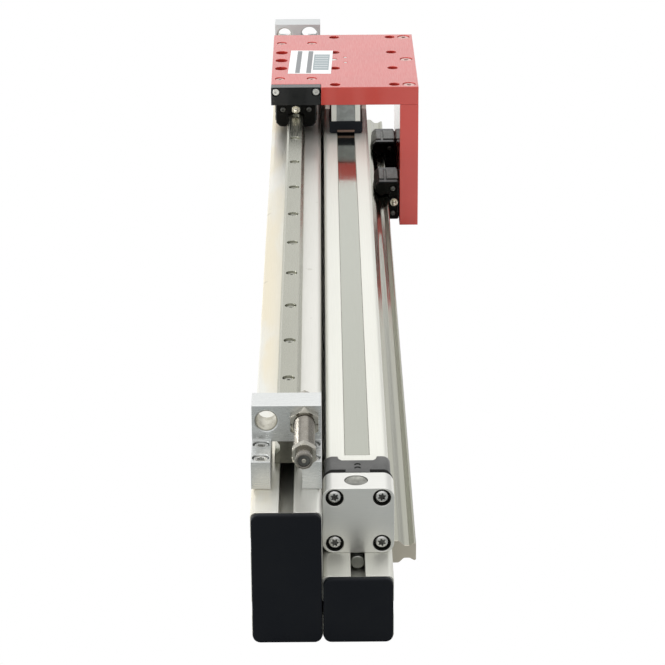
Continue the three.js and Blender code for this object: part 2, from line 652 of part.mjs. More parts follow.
add('front_stop_bracket', stopBracket('front'), MATERIAL.milled);
add('rear_stop_bracket', stopBracket('rear'), MATERIAL.milled);
addBracketScrews();
add('shock_absorber_body', shockBody(), MATERIAL.chrome);
add('shock_front_lock_nut', lockNut(LOCK_NUT.front, BRACKET.bridge), MATERIAL.chrome);
add('shock_rear_lock_nut', lockNut(BRACKET.end, LOCK_NUT.rear), MATERIAL.chrome);
add('shock_rod', shockRod(), MATERIAL.chrome);

add('cylinder_barrel', barrel(), MATERIAL.anodised);
for (const end of ['front', 'rear']) {
  add(`${end}_cylinder_head`, cylinderHead(end), MATERIAL.milled);
  addHeadScrews(end);
  add(`${end}_band_clamp`, bandClamp(end), MATERIAL.greyPlastic);
}
add('front_port_plug', portPlug(), MATERIAL.milled);
add('cover_band', coverBand(), MATERIAL.bandSteel);
add('sealing_band', sealingBand(), MATERIAL.bandSteel);
add('piston', piston(), MATERIAL.milled);
add('wiper_housing', wiperHousing(), MATERIAL.blackPlastic);
add('driver_bar', driver(), MATERIAL.milled);

add('carriage_top_plate', topPlate(), MATERIAL.redAnodised);
add('carriage_side_plate', sidePlate(), MATERIAL.redAnodised);
add('stop_plate', stopPlate(), MATERIAL.blackAnodised);

export default unit;
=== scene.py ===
"""Looks of a pneumatic linear slide unit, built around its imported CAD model.

Solids are made in millimetres of the row frame and scaled to metres when they become pieces.
Places come from the CAD nodes' boxes; the constants below are sizes of details inside them.
"""
import json
import math

import bmesh
import bpy
from mathutils import Euler, Matrix, Vector

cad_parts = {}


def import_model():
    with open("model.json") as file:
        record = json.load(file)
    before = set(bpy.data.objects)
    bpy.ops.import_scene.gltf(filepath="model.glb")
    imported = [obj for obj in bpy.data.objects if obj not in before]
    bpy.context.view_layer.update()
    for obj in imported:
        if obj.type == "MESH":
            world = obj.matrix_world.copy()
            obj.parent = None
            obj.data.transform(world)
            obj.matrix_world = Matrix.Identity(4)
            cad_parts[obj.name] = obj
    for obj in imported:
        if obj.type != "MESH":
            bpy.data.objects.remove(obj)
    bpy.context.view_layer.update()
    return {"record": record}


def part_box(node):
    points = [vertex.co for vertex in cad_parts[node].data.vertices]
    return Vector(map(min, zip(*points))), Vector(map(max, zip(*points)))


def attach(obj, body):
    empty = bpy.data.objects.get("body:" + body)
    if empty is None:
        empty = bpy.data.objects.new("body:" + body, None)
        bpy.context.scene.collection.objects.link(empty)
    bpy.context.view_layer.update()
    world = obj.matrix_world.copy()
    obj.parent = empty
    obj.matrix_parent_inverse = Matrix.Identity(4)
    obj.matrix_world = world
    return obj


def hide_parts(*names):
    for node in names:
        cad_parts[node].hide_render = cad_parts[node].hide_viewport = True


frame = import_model()

MM = 0.001
UNIT = "guide_unit"
CARRIAGE = "carriage"
PLUNGER = "shock_plunger"

# ---- sizes of details, in millimetres -------------------------------------------------------
# Outlines are points of a half, out from the middle and up or inwards. Depths are from the face.
MODULE = 40
SLOT = [(4.1, 0), (4.1, 4.5), (8.25, 4.5), (8.25, 7.5), (4.5, 12)]
PROFILE_CORNER = 3.2
CAP_CORNER = 4.5
RAIL_HALF = [(7.2, 0), (7.2, 4.2), (7.0, 4.9), (6.5, 5.5), (4.5, 7.5), (4.2, 8), (4.1, 8.6), (4.1, 10.8),
             (4.25, 11.5), (5.4, 13.3), (5.6, 13.9), (5.6, 14.4), (5.1, 15)]
RAIL_PITCH = 60
RAIL_HOLES = 14
RAIL_CUP = 3.75
RAIL_CUP_DEPTH = 5.3
RUNNER_MOUTH = 8
RUNNER_CHANNEL = [(RUNNER_MOUTH, 4.8), (7.4, 6), (5.1, 8.3), (4.8, 8.9), (4.8, 10.7), (6.3, 12.9),
                  (6.3, 15.8)]
RUNNER_SCREWS = 13
RUNNER_HALF = 17
RUNNER_TOP = 24.5
# Half width, bottom, top and lower corner of the block's steel, its end caps and their scrapers.
RUNNER_BODY = (RUNNER_HALF, 4, RUNNER_TOP, 4)
RUNNER_END = (16.3, 4.6, 24, 3)
RUNNER_SCRAPER = (15.6, 5, 23.2, 3.4)
SCRAPER = 1.6
SCRAPER_SCREWS = (10.6, 19.2)
SCRAPER_RIVETS = (10.2, 11.2)
NIPPLE_HEIGHT = 20
NIPPLE_REACH = 9
BRACKET_GAP = 17.5
BRACKET_ARCH = 16
BRACKET_FOOT = 17
BRACKET_BRIDGE = 29.5
BRACKET_CUP = (2.8, 4.75)
BRACKET_CUP_DEPTH = 6
# Across and up from the bracket's lowest corner, then the radius.
STOP_HOLE = (8.5, 29, 6.25)
SHOCK_HOLE = (30.25, 29, 7)
HEAD_CORNER = 6
HEAD_CUP = 5.1
HEAD_CUP_DEPTH = 4.6
PORT_HOLE = 6.6
PORT_DEPTH = 6
BARREL_CORNER = 3
BORE = 12.5
BAND_RECESS = 7.3
CLAMP_DEPTH = 3
CLAMP_CORNER = 4.5
CLAMP_TONGUE = (7, 3.5)
STOP_PLATE_RECESS = (40.5, 10)
# Radius of a screw hole and of its cup.
SMALL_CUP = (2.3, 4)
LARGE_CUP = (3.3, 5.2)
HOLE_ROW = (-72, -24, 24, 72)
PIN_ROW = (-6.5, 9)
SHOCK_RADIUS = 6
SHOCK_BORE = 2.6
SHOCK_STROKE = 9
THREAD_PITCH = 1
THREAD_DEPTH = 0.3


# ---- solids ---------------------------------------------------------------------------------
def placed(axis, u, v, along):
    """A point from its place along an axis and its two other coordinates, in X, Y, Z order."""
    if axis == "x":
        return (along, u, v)
    if axis == "y":
        return (u, along, v)
    return (u, v, along)


def prism(axis, outline, start, end):
    """Closed solid with one outline, from start to end along an axis."""
    count = len(outline)
    points = [placed(axis, u, v, along) for along in (start, end) for u, v in outline]
    faces = [list(range(count)), list(range(count, 2 * count))]
    for k in range(count):
        after = (k + 1) % count
        faces.append([k, after, count + after, count + k])
    return points, faces


def block(low, high):
    """Box from its lowest to its highest corner."""
    outline = [(low[0], low[1]), (high[0], low[1]), (high[0], high[1]), (low[0], high[1])]
    return prism("z", outline, low[2], high[2])


def around(axis, centre, radius, angle, along):
    """Point at a radius and an angle around an axis."""
    return placed(axis, centre[0] + radius * math.cos(angle), centre[1] + radius * math.sin(angle), along)


def skinned(rings, segments):
    """Closed solid over rings of points; a ring of one point is a tip."""
    faces = []
    start = 0
    for near, far in zip(rings, rings[1:]):
        after = start + len(near)
        for k in range(segments):
            corners = [start + k % len(near), start + (k + 1) % len(near)]
            corners += [after + (k + 1) % len(far), after + k % len(far)]
            corners = list(dict.fromkeys(corners))
            if len(corners) > 2:
                faces.append(corners)
        start = after
    return [point for points in rings for point in points], faces


def turned(axis, centre, profile, segments=48):
    """Solid of revolution; the profile is a list of (radius, place along the axis)."""
    rings = []
    for radius, along in profile:
        angles = [2 * math.pi * k / segments for k in range(segments if radius > 0 else 1)]
        rings.append([around(axis, centre, radius, angle, along) for angle in angles])
    return skinned(rings, segments)


def rod(axis, centre, radius, start, end, segments=48):
    return turned(axis, centre, [(0, start), (radius, start), (radius, end), (0, end)], segments)


def ring(axis, centre, inner, outer, start, end, segments=48):
    """Tube between two radii."""
    profile = [(outer, start), (outer, end), (inner, end), (inner, start), (outer, start)]
    return turned(axis, centre, profile, segments)


def stepped(axis, centre, radius, cup, start, seat, top):
    """Cutter for a hole with a wider cup: the hole from start to seat, the cup from seat to top."""
    profile = [(0, start), (radius, start), (radius, seat), (cup, seat), (cup, top), (0, top)]
    return turned(axis, centre, profile)


def threaded(axis, centre, radius, start, end, segments=40):
    """Rod with a helical thread between start and end."""
    steps = int((end - start) / THREAD_PITCH * 6)
    rings = [[placed(axis, *centre, start)]]
    for i in range(steps + 1):
        along = start + (end - start) * i / steps
        fade = min(1, (along - start) / THREAD_PITCH, (end - along) / THREAD_PITCH)
        points = []
        for k in range(segments):
            phase = (along / THREAD_PITCH - k / segments) % 1
            depth = THREAD_DEPTH * abs(2 * phase - 1) * fade + 0.15 * (1 - fade)
            points.append(around(axis, centre, radius - depth, 2 * math.pi * k / segments, along))
        rings.append(points)
    rings.append([placed(axis, *centre, end)])
    return skinned(rings, segments)


def merged(*forms):
    points = []
    faces = []
    for more_points, more_faces in forms:
        offset = len(points)
        points.extend(more_points)
        faces.extend([[offset + k for k in face] for face in more_faces])
    return points, faces


def moved(form, matrix):
    points, faces = form
    return [tuple(matrix @ Vector(point)) for point in points], faces


def arc(centre, radius, start, end, steps=8):
    """Points on an arc between two angles in degrees, both ends included."""
    points = []
    for k in range(steps + 1):
        angle = math.radians(start + (end - start) * k / steps)
        points.append((centre[0] + radius * math.cos(angle), centre[1] + radius * math.sin(angle)))
    return points


def rounded(u0, v0, u1, v1, radius, steps=8):
    """Rounded rectangle."""
    left, right, bottom, top = u0 + radius, u1 - radius, v0 + radius, v1 - radius
    outline = []
    for k, corner in enumerate([(right, bottom), (right, top), (left, top), (left, bottom)]):
        outline += arc(corner, radius, 90 * k - 90, 90 * k, steps)
    return outline


def mirrored(half, middle_u=0):
    """Outline of a half drawn from its middle line, and of its mirror image."""
    right = [(middle_u + u, v) for u, v in half]
    return right + [(middle_u - u, v) for u, v in reversed(half)]


def added(name, data):
    """New object in the scene."""
    item = bpy.data.objects.new(name, data)
    bpy.context.scene.collection.objects.link(item)
    return item


def mesh_of(form, scale=1.0):
    points, faces = form
    mesh = bpy.data.meshes.new("form")
    mesh.from_pydata([Vector(point) * scale for point in points], [], faces)
    sculpt = bmesh.new()
    sculpt.from_mesh(mesh)
    bmesh.ops.recalc_face_normals(sculpt, faces=sculpt.faces)
    sculpt.to_mesh(mesh)
    sculpt.free()
    return mesh


def combined(form, tools, operation):
    """Boolean of a form with tools that stay clear of each other."""
    target, tool = [added("form", mesh_of(part)) for part in (form, merged(*tools))]
    modifier = target.modifiers.new("combine", "BOOLEAN")
    modifier.operation = operation
    modifier.solver = "EXACT"
    modifier.object = tool
    result = target.evaluated_get(bpy.context.evaluated_depsgraph_get()).to_mesh()
    points = [tuple(vertex.co) for vertex in result.vertices]
    faces = [list(polygon.vertices) for polygon in result.polygons]
    for item in (target, tool):
        bpy.data.objects.remove(item)
    return points, faces


def carve(form, *tools):
    return combined(form, tools, "DIFFERENCE")


def hexagon(radius, turn=0.0):
    angles = [turn + k * math.pi / 3 for k in range(6)]
    return [(radius * math.cos(angle), radius * math.sin(angle)) for angle in angles]


def hexagonal(axis, centre, profile, radius, turn=0.0, segments=64):
    """Solid of revolution cut to a hexagon of the given corner radius."""
    outline = [(centre[0] + u, centre[1] + v) for u, v in hexagon(radius, turn)]
    flats = prism(axis, outline, profile[0][1] - 1, profile[-1][1] + 1)
    return combined(turned(axis, centre, profile, segments), [flats], "INTERSECT")


# ---- places ---------------------------------------------------------------------------------
def span(node):
    """Lowest and highest corner of a CAD node at rest, in millimetres."""
    low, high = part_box(node)
    return low / MM, high / MM


def middle(node):
    low, high = span(node)
    return (low + high) / 2


def four_screws(name):
    return [f"{name}_screw_{k}" for k in range(1, 5)]


def from_end(node, facing):
    """Function that gives the Y at a distance from the node's outer face; facing is -1 in front."""
    low, high = span(node)
    if facing < 0:
        return lambda distance: low.y + distance
    return lambda distance: high.y - distance


ENDS = [("front", -1), ("rear", 1)]
SLOT_OF = {part["node"]: part["material_slot"] for part in frame["record"]["subparts"]}


# ---- materials ------------------------------------------------------------------------------
class Nodes:
    """The node tree of a material or a world, and the few kinds of node that are used in it."""

    def __init__(self, owner, place):
        owner.use_nodes = True
        self.tree = owner.node_tree
        self.place = self.tree.nodes.new("ShaderNodeTexCoord").outputs[place]

    def node(self, kind, **values):
        """New node with some of its inputs, named or numbered as in _6, set or linked."""
        node = self.tree.nodes.new(kind)
        for name, value in values.items():
            key = int(name[1:]) if name.startswith("_") else name.replace("_", " ")
            self.fill(node.inputs[key], value)
        return node

    def fill(self, socket, value):
        if isinstance(value, bpy.types.NodeSocket):
            self.tree.links.new(value, socket)
        else:
            socket.default_value = value

    def along(self, axis):
        """The place along one axis, in the units of the coordinates."""
        return self.node("ShaderNodeSeparateXYZ", Vector=self.place).outputs[axis]

    def math(self, operation, first, second=0.0):
        node = self.node("ShaderNodeMath", _0=first, _1=second)
        node.operation = operation
        return node.outputs["Value"]

    def dot(self, first, second):
        node = self.node("ShaderNodeVectorMath", _0=first, _1=second)
        node.operation = "DOT_PRODUCT"
        return node.outputs["Value"]

    def ranged(self, value, from_low, from_high, to_low=0.0, to_high=1.0, curve="SMOOTHSTEP"):
        """Ramp from one range to another, clamped."""
        node = self.node("ShaderNodeMapRange", Value=value, From_Min=from_low, From_Max=from_high,
                         To_Min=to_low, To_Max=to_high)
        node.interpolation_type = curve
        return node.outputs["Result"]

    def mixed(self, factor, first, second):
        """Blend of two colours, each a tuple or an output."""
        first, second = ((*color, 1) if isinstance(color, tuple) else color for color in (first, second))
        node = self.tree.nodes.new("ShaderNodeMix")
        node.data_type = "RGBA"
        for key, value in (("Factor", factor), (6, first), (7, second)):
            self.fill(node.inputs[key], value)
        return node.outputs[2]


class Finish(Nodes):
    """A principled material and the layers that its look is made of."""

    def __init__(self, name, metallic, roughness, **sockets):
        self.material = bpy.data.materials.new(name)
        super().__init__(self.material, "Object")
        self.shader = self.tree.nodes["Principled BSDF"]
        self.shader.inputs["Metallic"].default_value = metallic
        self.shader.inputs["Roughness"].default_value = roughness
        for socket, value in sockets.items():
            self.shader.inputs[socket.replace("_", " ")].default_value = value

    def noise(self, scale, stretch=(1, 1, 1), detail=4.0, distortion=0.0):
        """Noise of about 1 mm / scale grains, drawn out along the axes with a small stretch."""
        size = [scale / MM * factor for factor in stretch]
        mapping = self.node("ShaderNodeMapping", Vector=self.place, Scale=size)
        texture = self.node("ShaderNodeTexNoise", Vector=mapping.outputs["Vector"], Scale=1.0,
                            Detail=detail, Distortion=distortion)
        return texture.outputs["Fac"]

    def coordinate(self, axis):
        """The place along one axis, in millimetres."""
        return self.math("MULTIPLY", self.along(axis), 1 / MM)

    def bump(self, height, distance, strength=0.4):
        node = self.node("ShaderNodeBump", Strength=strength, Distance=distance * MM, Height=height)
        self.fill(self.shader.inputs["Normal"], node.outputs["Normal"])

    def edges(self, radius):
        """1 on sharp edges, 0 on flat faces."""
        bevel = self.node("ShaderNodeBevel", Radius=radius * MM)
        bevel.samples = 4
        geometry = self.node("ShaderNodeNewGeometry")
        likeness = self.dot(bevel.outputs["Normal"], geometry.outputs["Normal"])
        return self.ranged(self.math("SUBTRACT", 1.0, likeness), 0.02, 0.25)

    def color(self, output):
        self.fill(self.shader.inputs["Base Color"], output)
        return self.material

    def roughness(self, output):
        self.fill(self.shader.inputs["Roughness"], output)


ALONG_Y = (1, 0.012, 1)


def drawn(name, light, dark, metallic, roughness, grain=3.0, stretch=ALONG_Y, depth=0.02, patches=0.012):
    """Metal with fine lines drawn out in one direction and cloudy patches of a second tone."""
    finish = Finish(name, metallic, roughness)
    lines = finish.noise(grain, stretch)
    clouds = finish.noise(patches, (1, 0.4, 1), detail=6)
    finish.roughness(finish.ranged(lines, 0.3, 0.7, roughness - 0.06, roughness + 0.08))
    finish.bump(lines, depth)
    tone = finish.math("ADD", finish.math("MULTIPLY", lines, 0.35), finish.math("MULTIPLY", clouds, 0.65))
    finish.base = finish.mixed(finish.ranged(tone, 0.3, 0.7), light, dark)
    return finish


def plain_drawn(*values, **options):
    finish = drawn(*values, **options)
    return finish.color(finish.base)


def stained_profile():
    """Silver anodised extrusion with cream oil stains beside the rail, mostly on its left half."""
    finish = drawn("anodised_stained", (0.80, 0.79, 0.74), (0.74, 0.74, 0.69), 0.9, 0.38)
    rail = middle("top_rail")
    left = finish.ranged(finish.coordinate("X"), rail.x - 17, rail.x + 3, 1, 0)
    blots = finish.ranged(finish.noise(0.03, (1, 0.25, 1), detail=5, distortion=0.6), 0.35, 0.62)
    stain = finish.math("MULTIPLY", finish.math("MULTIPLY", left, 0.75), blots)
    spots = finish.ranged(finish.noise(0.12, detail=3), 0.70, 0.76)
    creamy = finish.mixed(stain, finish.base, (0.78, 0.70, 0.52))
    return finish.color(finish.mixed(finish.math("MULTIPLY", spots, 0.35), creamy, (0.36, 0.33, 0.24)))


def rail_steel(node, roughness, painted_end_shading):
    """Ground rail with lengthwise grinding lines, and end faces in a flat tone of painted light and shade.
    """
    finish = drawn(node, (0.44, 0.44, 0.375), (0.39, 0.39, 0.33), 1.0, roughness, depth=0.01)
    low, high = span(node)
    from_middle = finish.math("ABSOLUTE", finish.math("SUBTRACT", finish.coordinate("Y"), middle(node).y))
    reach = (high.y - low.y) / 2
    # Painted light and shade: a flat tone on the end faces stands in for how they are lit.
    sawn = finish.ranged(from_middle, reach - 0.3, reach - 0.1)
    return finish.color(finish.mixed(sawn, finish.base, painted_end_shading))


def red_anodised():
    """Red anodised plate: faint milling lines under a clear oxide layer, paler on its edges."""
    finish = Finish("red_anodised", 0.3, 0.38, Coat_Weight=0.9, Coat_Roughness=0.07, Coat_IOR=1.6)
    lines = finish.noise(1.6, (1, 0.05, 1))
    clouds = finish.noise(0.02, detail=5)
    finish.roughness(finish.ranged(lines, 0.3, 0.7, 0.33, 0.46))
    finish.bump(lines, 0.007)
    base = finish.mixed(finish.ranged(clouds, 0.3, 0.7), (0.60, 0.050, 0.035), (0.56, 0.045, 0.031))
    worn = finish.math("MULTIPLY", finish.edges(0.6), finish.ranged(finish.noise(0.25), 0.3, 0.6))
    return finish.color(finish.mixed(finish.math("MULTIPLY", worn, 0.5), base, (0.70, 0.20, 0.16)))


def black_anodised():
    """Black anodised plate with thin worn edges."""
    finish = Finish("black_anodised", 0.0, 0.42, Specular_IOR_Level=0.05,
                    Coat_Weight=1.0, Coat_Roughness=0.08, Coat_IOR=1.4)
    lines = finish.noise(1.5, (0.05, 1, 1))
    finish.roughness(finish.ranged(lines, 0.3, 0.7, 0.36, 0.5))
    finish.bump(lines, 0.01)
    worn = finish.math("MULTIPLY", finish.edges(0.4), finish.ranged(finish.noise(0.4), 0.45, 0.65))
    tone = finish.mixed(finish.noise(0.05), (0.004, 0.005, 0.006), (0.006, 0.007, 0.008))
    return finish.color(finish.mixed(finish.math("MULTIPLY", worn, 0.5), tone, (0.16, 0.16, 0.15)))


def moulded(name, low, high, roughness, specular, grain):
    """Moulded plastic with a spark-eroded grain and slightly scuffed edges."""
    finish = Finish(name, 0.0, roughness, Specular_IOR_Level=specular)
    texture = finish.noise(grain, detail=2)
    finish.roughness(finish.ranged(texture, 0.3, 0.7, roughness - 0.07, roughness + 0.1))
    finish.bump(texture, 0.05, 0.5)
    tone = finish.mixed(finish.ranged(finish.noise(0.04, detail=5), 0.3, 0.7), low, high)
    scuffed = finish.math("MULTIPLY", finish.edges(0.8), finish.ranged(finish.noise(0.3), 0.4, 0.7))
    lighter = tuple(4 * value for value in high)
    return finish.color(finish.mixed(finish.math("MULTIPLY", scuffed, 0.35), tone, lighter))


def turned_metal(name, light, dark, roughness, metallic):
    """Small machined or plated parts: even tone with fine scratches and slight staining."""
    finish = Finish(name, metallic, roughness)
    scratches = finish.noise(2.5, (1, 0.2, 1), detail=5)
    finish.roughness(finish.ranged(scratches, 0.3, 0.7, roughness - 0.05, roughness + 0.1))
    finish.bump(scratches, 0.006)
    return finish.color(finish.mixed(finish.ranged(finish.noise(0.2, detail=4), 0.35, 0.65), light, dark))


def printed_paper():
    finish = Finish("label_paper", 0.0, 0.45)
    fibres = finish.noise(3.0, detail=3)
    finish.bump(fibres, 0.01)
    return finish.color(finish.mixed(fibres, (0.86, 0.86, 0.85), (0.92, 0.92, 0.91)))


def printed_ink(name, tone):
    finish = Finish(name, 0.0, 0.5)
    darker = tuple(0.85 * value for value in tone)
    return finish.color(finish.mixed(finish.noise(4.0, detail=3), tone, darker))


EVEN = (1, 1, 1)
CUT = (0.03, 0.6, 1)

# Light tone, dark tone, metallic, roughness, then what differs from the usual lines.
DRAWN = {
    "anodised": ((0.80, 0.80, 0.74), (0.76, 0.76, 0.70), 0.75, 0.46, {}),
    "milled": ((0.80, 0.80, 0.76), (0.74, 0.74, 0.71), 0.92, 0.36,
               dict(grain=4.0, stretch=CUT, depth=0.004, patches=0.03)),
    "sawn": ((0.72, 0.735, 0.725), (0.67, 0.685, 0.675), 0.92, 0.30,
             dict(grain=4.0, stretch=CUT, depth=0.004, patches=0.03)),
    "dull": ((0.65, 0.67, 0.67), (0.59, 0.61, 0.61), 0.3, 0.5, dict(grain=1.5, stretch=EVEN, depth=0.01)),
    "band": ((0.49, 0.50, 0.44), (0.455, 0.465, 0.405), 1.0, 0.08,
             dict(grain=4.0, depth=0.002, patches=0.008)),
}

# Light tone, dark tone, roughness, metallic.
TURNED = {
    "runner": ((0.13, 0.13, 0.12), (0.085, 0.085, 0.077), 0.3, 1.0),
    "chrome": ((0.235, 0.222, 0.196), (0.21, 0.196, 0.17), 0.2, 1.0),
    "nickel": ((0.47, 0.45, 0.39), (0.41, 0.39, 0.335), 0.16, 1.0),
    "bronze": ((0.62, 0.60, 0.52), (0.46, 0.44, 0.36), 0.3, 1.0),
    "brass": ((0.80, 0.76, 0.64), (0.66, 0.62, 0.50), 0.24, 1.0),
    "screw": ((0.78, 0.78, 0.76), (0.64, 0.64, 0.62), 0.24, 1.0),
    # Steel tinted pink: painted reflection of the red plate around the heads.
    "screw_painted_red_reflection": ((0.76, 0.54, 0.51), (0.66, 0.46, 0.43), 0.4, 1.0),
    "rail_screw": ((0.58, 0.58, 0.53), (0.46, 0.46, 0.42), 0.35, 1.0),
    "dark_screw": ((0.16, 0.16, 0.15), (0.09, 0.09, 0.085), 0.35, 1.0),
    "insert": ((0.33, 0.35, 0.35), (0.26, 0.275, 0.27), 0.4, 0.8),
    "bar": ((0.46, 0.47, 0.43), (0.40, 0.41, 0.375), 0.4, 0.8),
    "plug": ((0.30, 0.30, 0.27), (0.20, 0.20, 0.18), 0.32, 0.9),
}

# Dark tone, light tone, roughness, specular level, grain.
MOULDED = {
    "black_plastic": ((0.0062, 0.0078, 0.0112), (0.0080, 0.0096, 0.0125), 0.5, 0.14, 2.2),
    "glossy_plastic": ((0.0062, 0.0070, 0.0080), (0.0080, 0.0090, 0.0100), 0.28, 0.5, 2.2),
    "grey_plastic": ((0.075, 0.076, 0.074), (0.15, 0.15, 0.145), 0.5, 0.35, 1.2),
    "black_rubber": ((0.003, 0.003, 0.0025), (0.005, 0.005, 0.004), 0.5, 0.08, 2.2),
    "seal": ((0.008, 0.0085, 0.007), (0.014, 0.0145, 0.012), 0.45, 0.15, 2.2),
    "wiper": ((0.16, 0.10, 0.075), (0.22, 0.145, 0.11), 0.5, 0.35, 2.2),
    "pad": ((0.42, 0.34, 0.30), (0.55, 0.47, 0.43), 0.5, 0.35, 2.2),
}

LOOKS = {
    "anodised_stained": stained_profile(),
    "red": red_anodised(),
    "black_anodised": black_anodised(),
    # Painted shade darkens the top rail's end as if in the bracket's shadow; painted light brightens the
    # side rail's end.
    "top_rail": rail_steel("top_rail", 0.26, (0.20, 0.20, 0.17)),
    "side_rail": rail_steel("side_rail", 0.15, (0.66, 0.61, 0.52)),
    "paper": printed_paper(),
    "dark_ink": printed_ink("dark_ink", (0.26, 0.27, 0.28)),
    "pale_ink": printed_ink("pale_ink", (0.36, 0.42, 0.44)),
}
LOOKS.update({name: plain_drawn(name, *values, **options) for name, (*values, options) in DRAWN.items()})
LOOKS.update({name: turned_metal(name, *values) for name, values in TURNED.items()})
LOOKS.update({name: moulded(name, *values) for name, values in MOULDED.items()})


# ---- pieces ---------------------------------------------------------------------------------
def piece(name, form, look, body, bevel, segments=2):
    """A shown piece that rides on a body. With a CAD node's name, it takes that node's place."""
    mesh = mesh_of(form, MM)
    mesh.name = name
    mesh.shade_smooth()
    mesh.materials.append(LOOKS[look])
    item = added(name, mesh)
    if bevel:
        soften = item.modifiers.new("soften", "BEVEL")
        soften.width = bevel * MM
        soften.segments = segments
        soften.limit_method = "ANGLE"
        soften.angle_limit = math.radians(35)
        soften.use_clamp_overlap = False
        soften.harden_normals = True
    else:
        mesh.set_sharp_from_angle(angle=math.radians(35))
    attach(item, body)
    if name in SLOT_OF:
        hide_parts(name)


# ---- screws, drawn standing on the origin along +Z ------------------------------------------
def lobed(radius, depth, lobes=6, steps=48):
    """Star outline with rounded lobes."""
    outline = []
    for k in range(steps):
        angle = 2 * math.pi * k / steps
        reach = radius - depth * (1 - math.cos(lobes * angle)) / 2
        outline.append((reach * math.cos(angle), reach * math.sin(angle)))
    return outline


def socket_screw(head, height, key, shank=0.0, length=0.0):
    """Cylinder-head screw with a hexagon socket; its head stands on z = 0."""
    profile = [(0, -length), (shank, -length), (shank, 0)] if shank else [(0, 0)]
    profile += [(head - 0.2, 0), (head, 0.3), (head, height - 0.45), (head - 0.45, height), (0, height)]
    recess = prism("z", hexagon(key), height * 0.42, height + 1)
    return carve(turned("z", (0, 0), profile), recess)


def pan_screw(head, height, key, shank, length):
    """Pan-head screw with a six-lobed socket."""
    profile = [(0, -length), (shank, -length), (shank, 0)]
    profile += [(head - 0.15, 0), (head, 0.2), (head, height * 0.35)]
    for u, v in arc((0, 0), 1, 10, 80, 6):
        profile.append((head * (0.55 + 0.45 * u), height * (0.35 + 0.63 * v)))
    profile += [(head * 0.55, height), (0, height)]
    return carve(turned("z", (0, 0), profile), prism("z", lobed(key, key * 0.36), height * 0.1, height + 1))


FACING = {
    "z": Matrix.Identity(4),
    "-y": Matrix.Rotation(math.radians(90), 4, "X"),
    "y": Matrix.Rotation(math.radians(-90), 4, "X"),
    "x": Matrix.Rotation(math.radians(90), 4, "Y"),
}
FRONT_OR_REAR = {-1: "-y", 1: "y"}


def set_in(form, facing, point, turn=0.0):
    """A screw moved to a point, with its head facing along an axis."""
    return moved(form, Matrix.Translation(point) @ FACING[facing] @ Matrix.Rotation(turn, 4, "Z"))


# ---- profiles and end caps ------------------------------------------------------------------
def slotted(low, high, radius):
    """Outline of a profile: rounded corners and one T-slot in each module of each side."""
    corners = [(low.x, low.z), (high.x, low.z), (high.x, high.z), (low.x, high.z)]
    steps = [(-u, v) for u, v in SLOT] + [(u, v) for u, v in reversed(SLOT)]
    outline = []
    for k, corner in enumerate(corners):
        start = Vector(corner)
        side = Vector(corners[(k + 1) % 4]) - start
        along = side.normalized()
        inward = Vector((-along.y, along.x))
        pivot = start + radius * (along + inward)
        for j in range(7):
            angle = math.radians(15 * j)
            outline.append(tuple(pivot - radius * (along * math.cos(angle) + inward * math.sin(angle))))
        for m in range(round(side.length / MODULE)):
            centre = start + along * MODULE * (m + 0.5)
            outline += [tuple(centre + along * u + inward * v) for u, v in steps]
    return outline


def profiles():
    for node, look in (("tall_profile", "anodised_stained"), ("low_profile", "anodised")):
        low, high = span(node)
        centre = middle(node)
        body = prism("y", slotted(low, high, PROFILE_CORNER), low.y, high.y)
        bores = []
        for m in range(round((high.z - low.z) / MODULE)):
            bores.append(rod("y", (centre.x, MODULE * (m + 0.5)), 3.4, low.y - 1, high.y + 1, 32))
        if len(bores) > 1:
            window = rounded(centre.x - 12, centre.z - 6, centre.x + 12, centre.z + 6, 1.5, 4)
            bores.append(prism("y", window, low.y - 1, high.y + 1))
        piece(node, carve(body, *bores), look, UNIT, 0.3)


def end_caps():
    for kind in ("tall", "low"):
        for end, _ in ENDS:
            node = f"{kind}_{end}_end_cap"
            low, high = span(node)
            outline = rounded(low.x, low.z, high.x, high.z, CAP_CORNER)
            piece(node, prism("y", outline, low.y, high.y), "black_plastic", UNIT, 1.1, 4)


# ---- rails ----------------------------------------------------------------------------------
RAILS = {}


def find_rails():
    """Base point of each rail and the turn that lays a section drawn upwards onto it."""
    top_base, side_base = span("top_rail")[0].z, span("side_rail")[0].x
    RAILS["top"] = Matrix.Translation((middle("top_rail").x, 0, top_base))
    turn = Matrix.Rotation(math.radians(90), 4, "Y")
    RAILS["side"] = Matrix.Translation((side_base, 0, middle("side_rail").z)) @ turn


def rails():
    for name, base in RAILS.items():
        node = f"{name}_rail"
        low, high = span(node)
        top = RAIL_HALF[-1][1]
        seat = top - RAIL_CUP_DEPTH
        body = prism("y", mirrored(RAIL_HALF), low.y, high.y)
        first = middle(node).y - RAIL_PITCH * (RAIL_HOLES - 1) / 2
        places = [first + RAIL_PITCH * k for k in range(RAIL_HOLES)]
        holes = [stepped("z", (0, y), 2.25, RAIL_CUP, -1, seat, top + 1) for y in places]
        piece(node, moved(carve(body, *holes), base), node, UNIT, 0.22)
        screw = socket_screw(3.5, 3.9, 1.2)
        rows = [set_in(screw, "z", (0, y, seat + 0.1), 0.4 * k) for k, y in enumerate(places)]
        piece(f"{name}_rail_screws", moved(merged(*rows), base), "rail_screw", UNIT, 0.12)


# ---- runner blocks --------------------------------------------------------------------------
def runner_section(half_width, low, high, chamfer):
    """Outline of a runner block around its channel, drawn on its rail's base."""
    outer = [(half_width - 1, high), (half_width, high - 1)]
    outer += [(half_width, low + chamfer), (half_width - chamfer, low)]
    return mirrored(outer + [(RUNNER_MOUTH, low)] + RUNNER_CHANNEL)


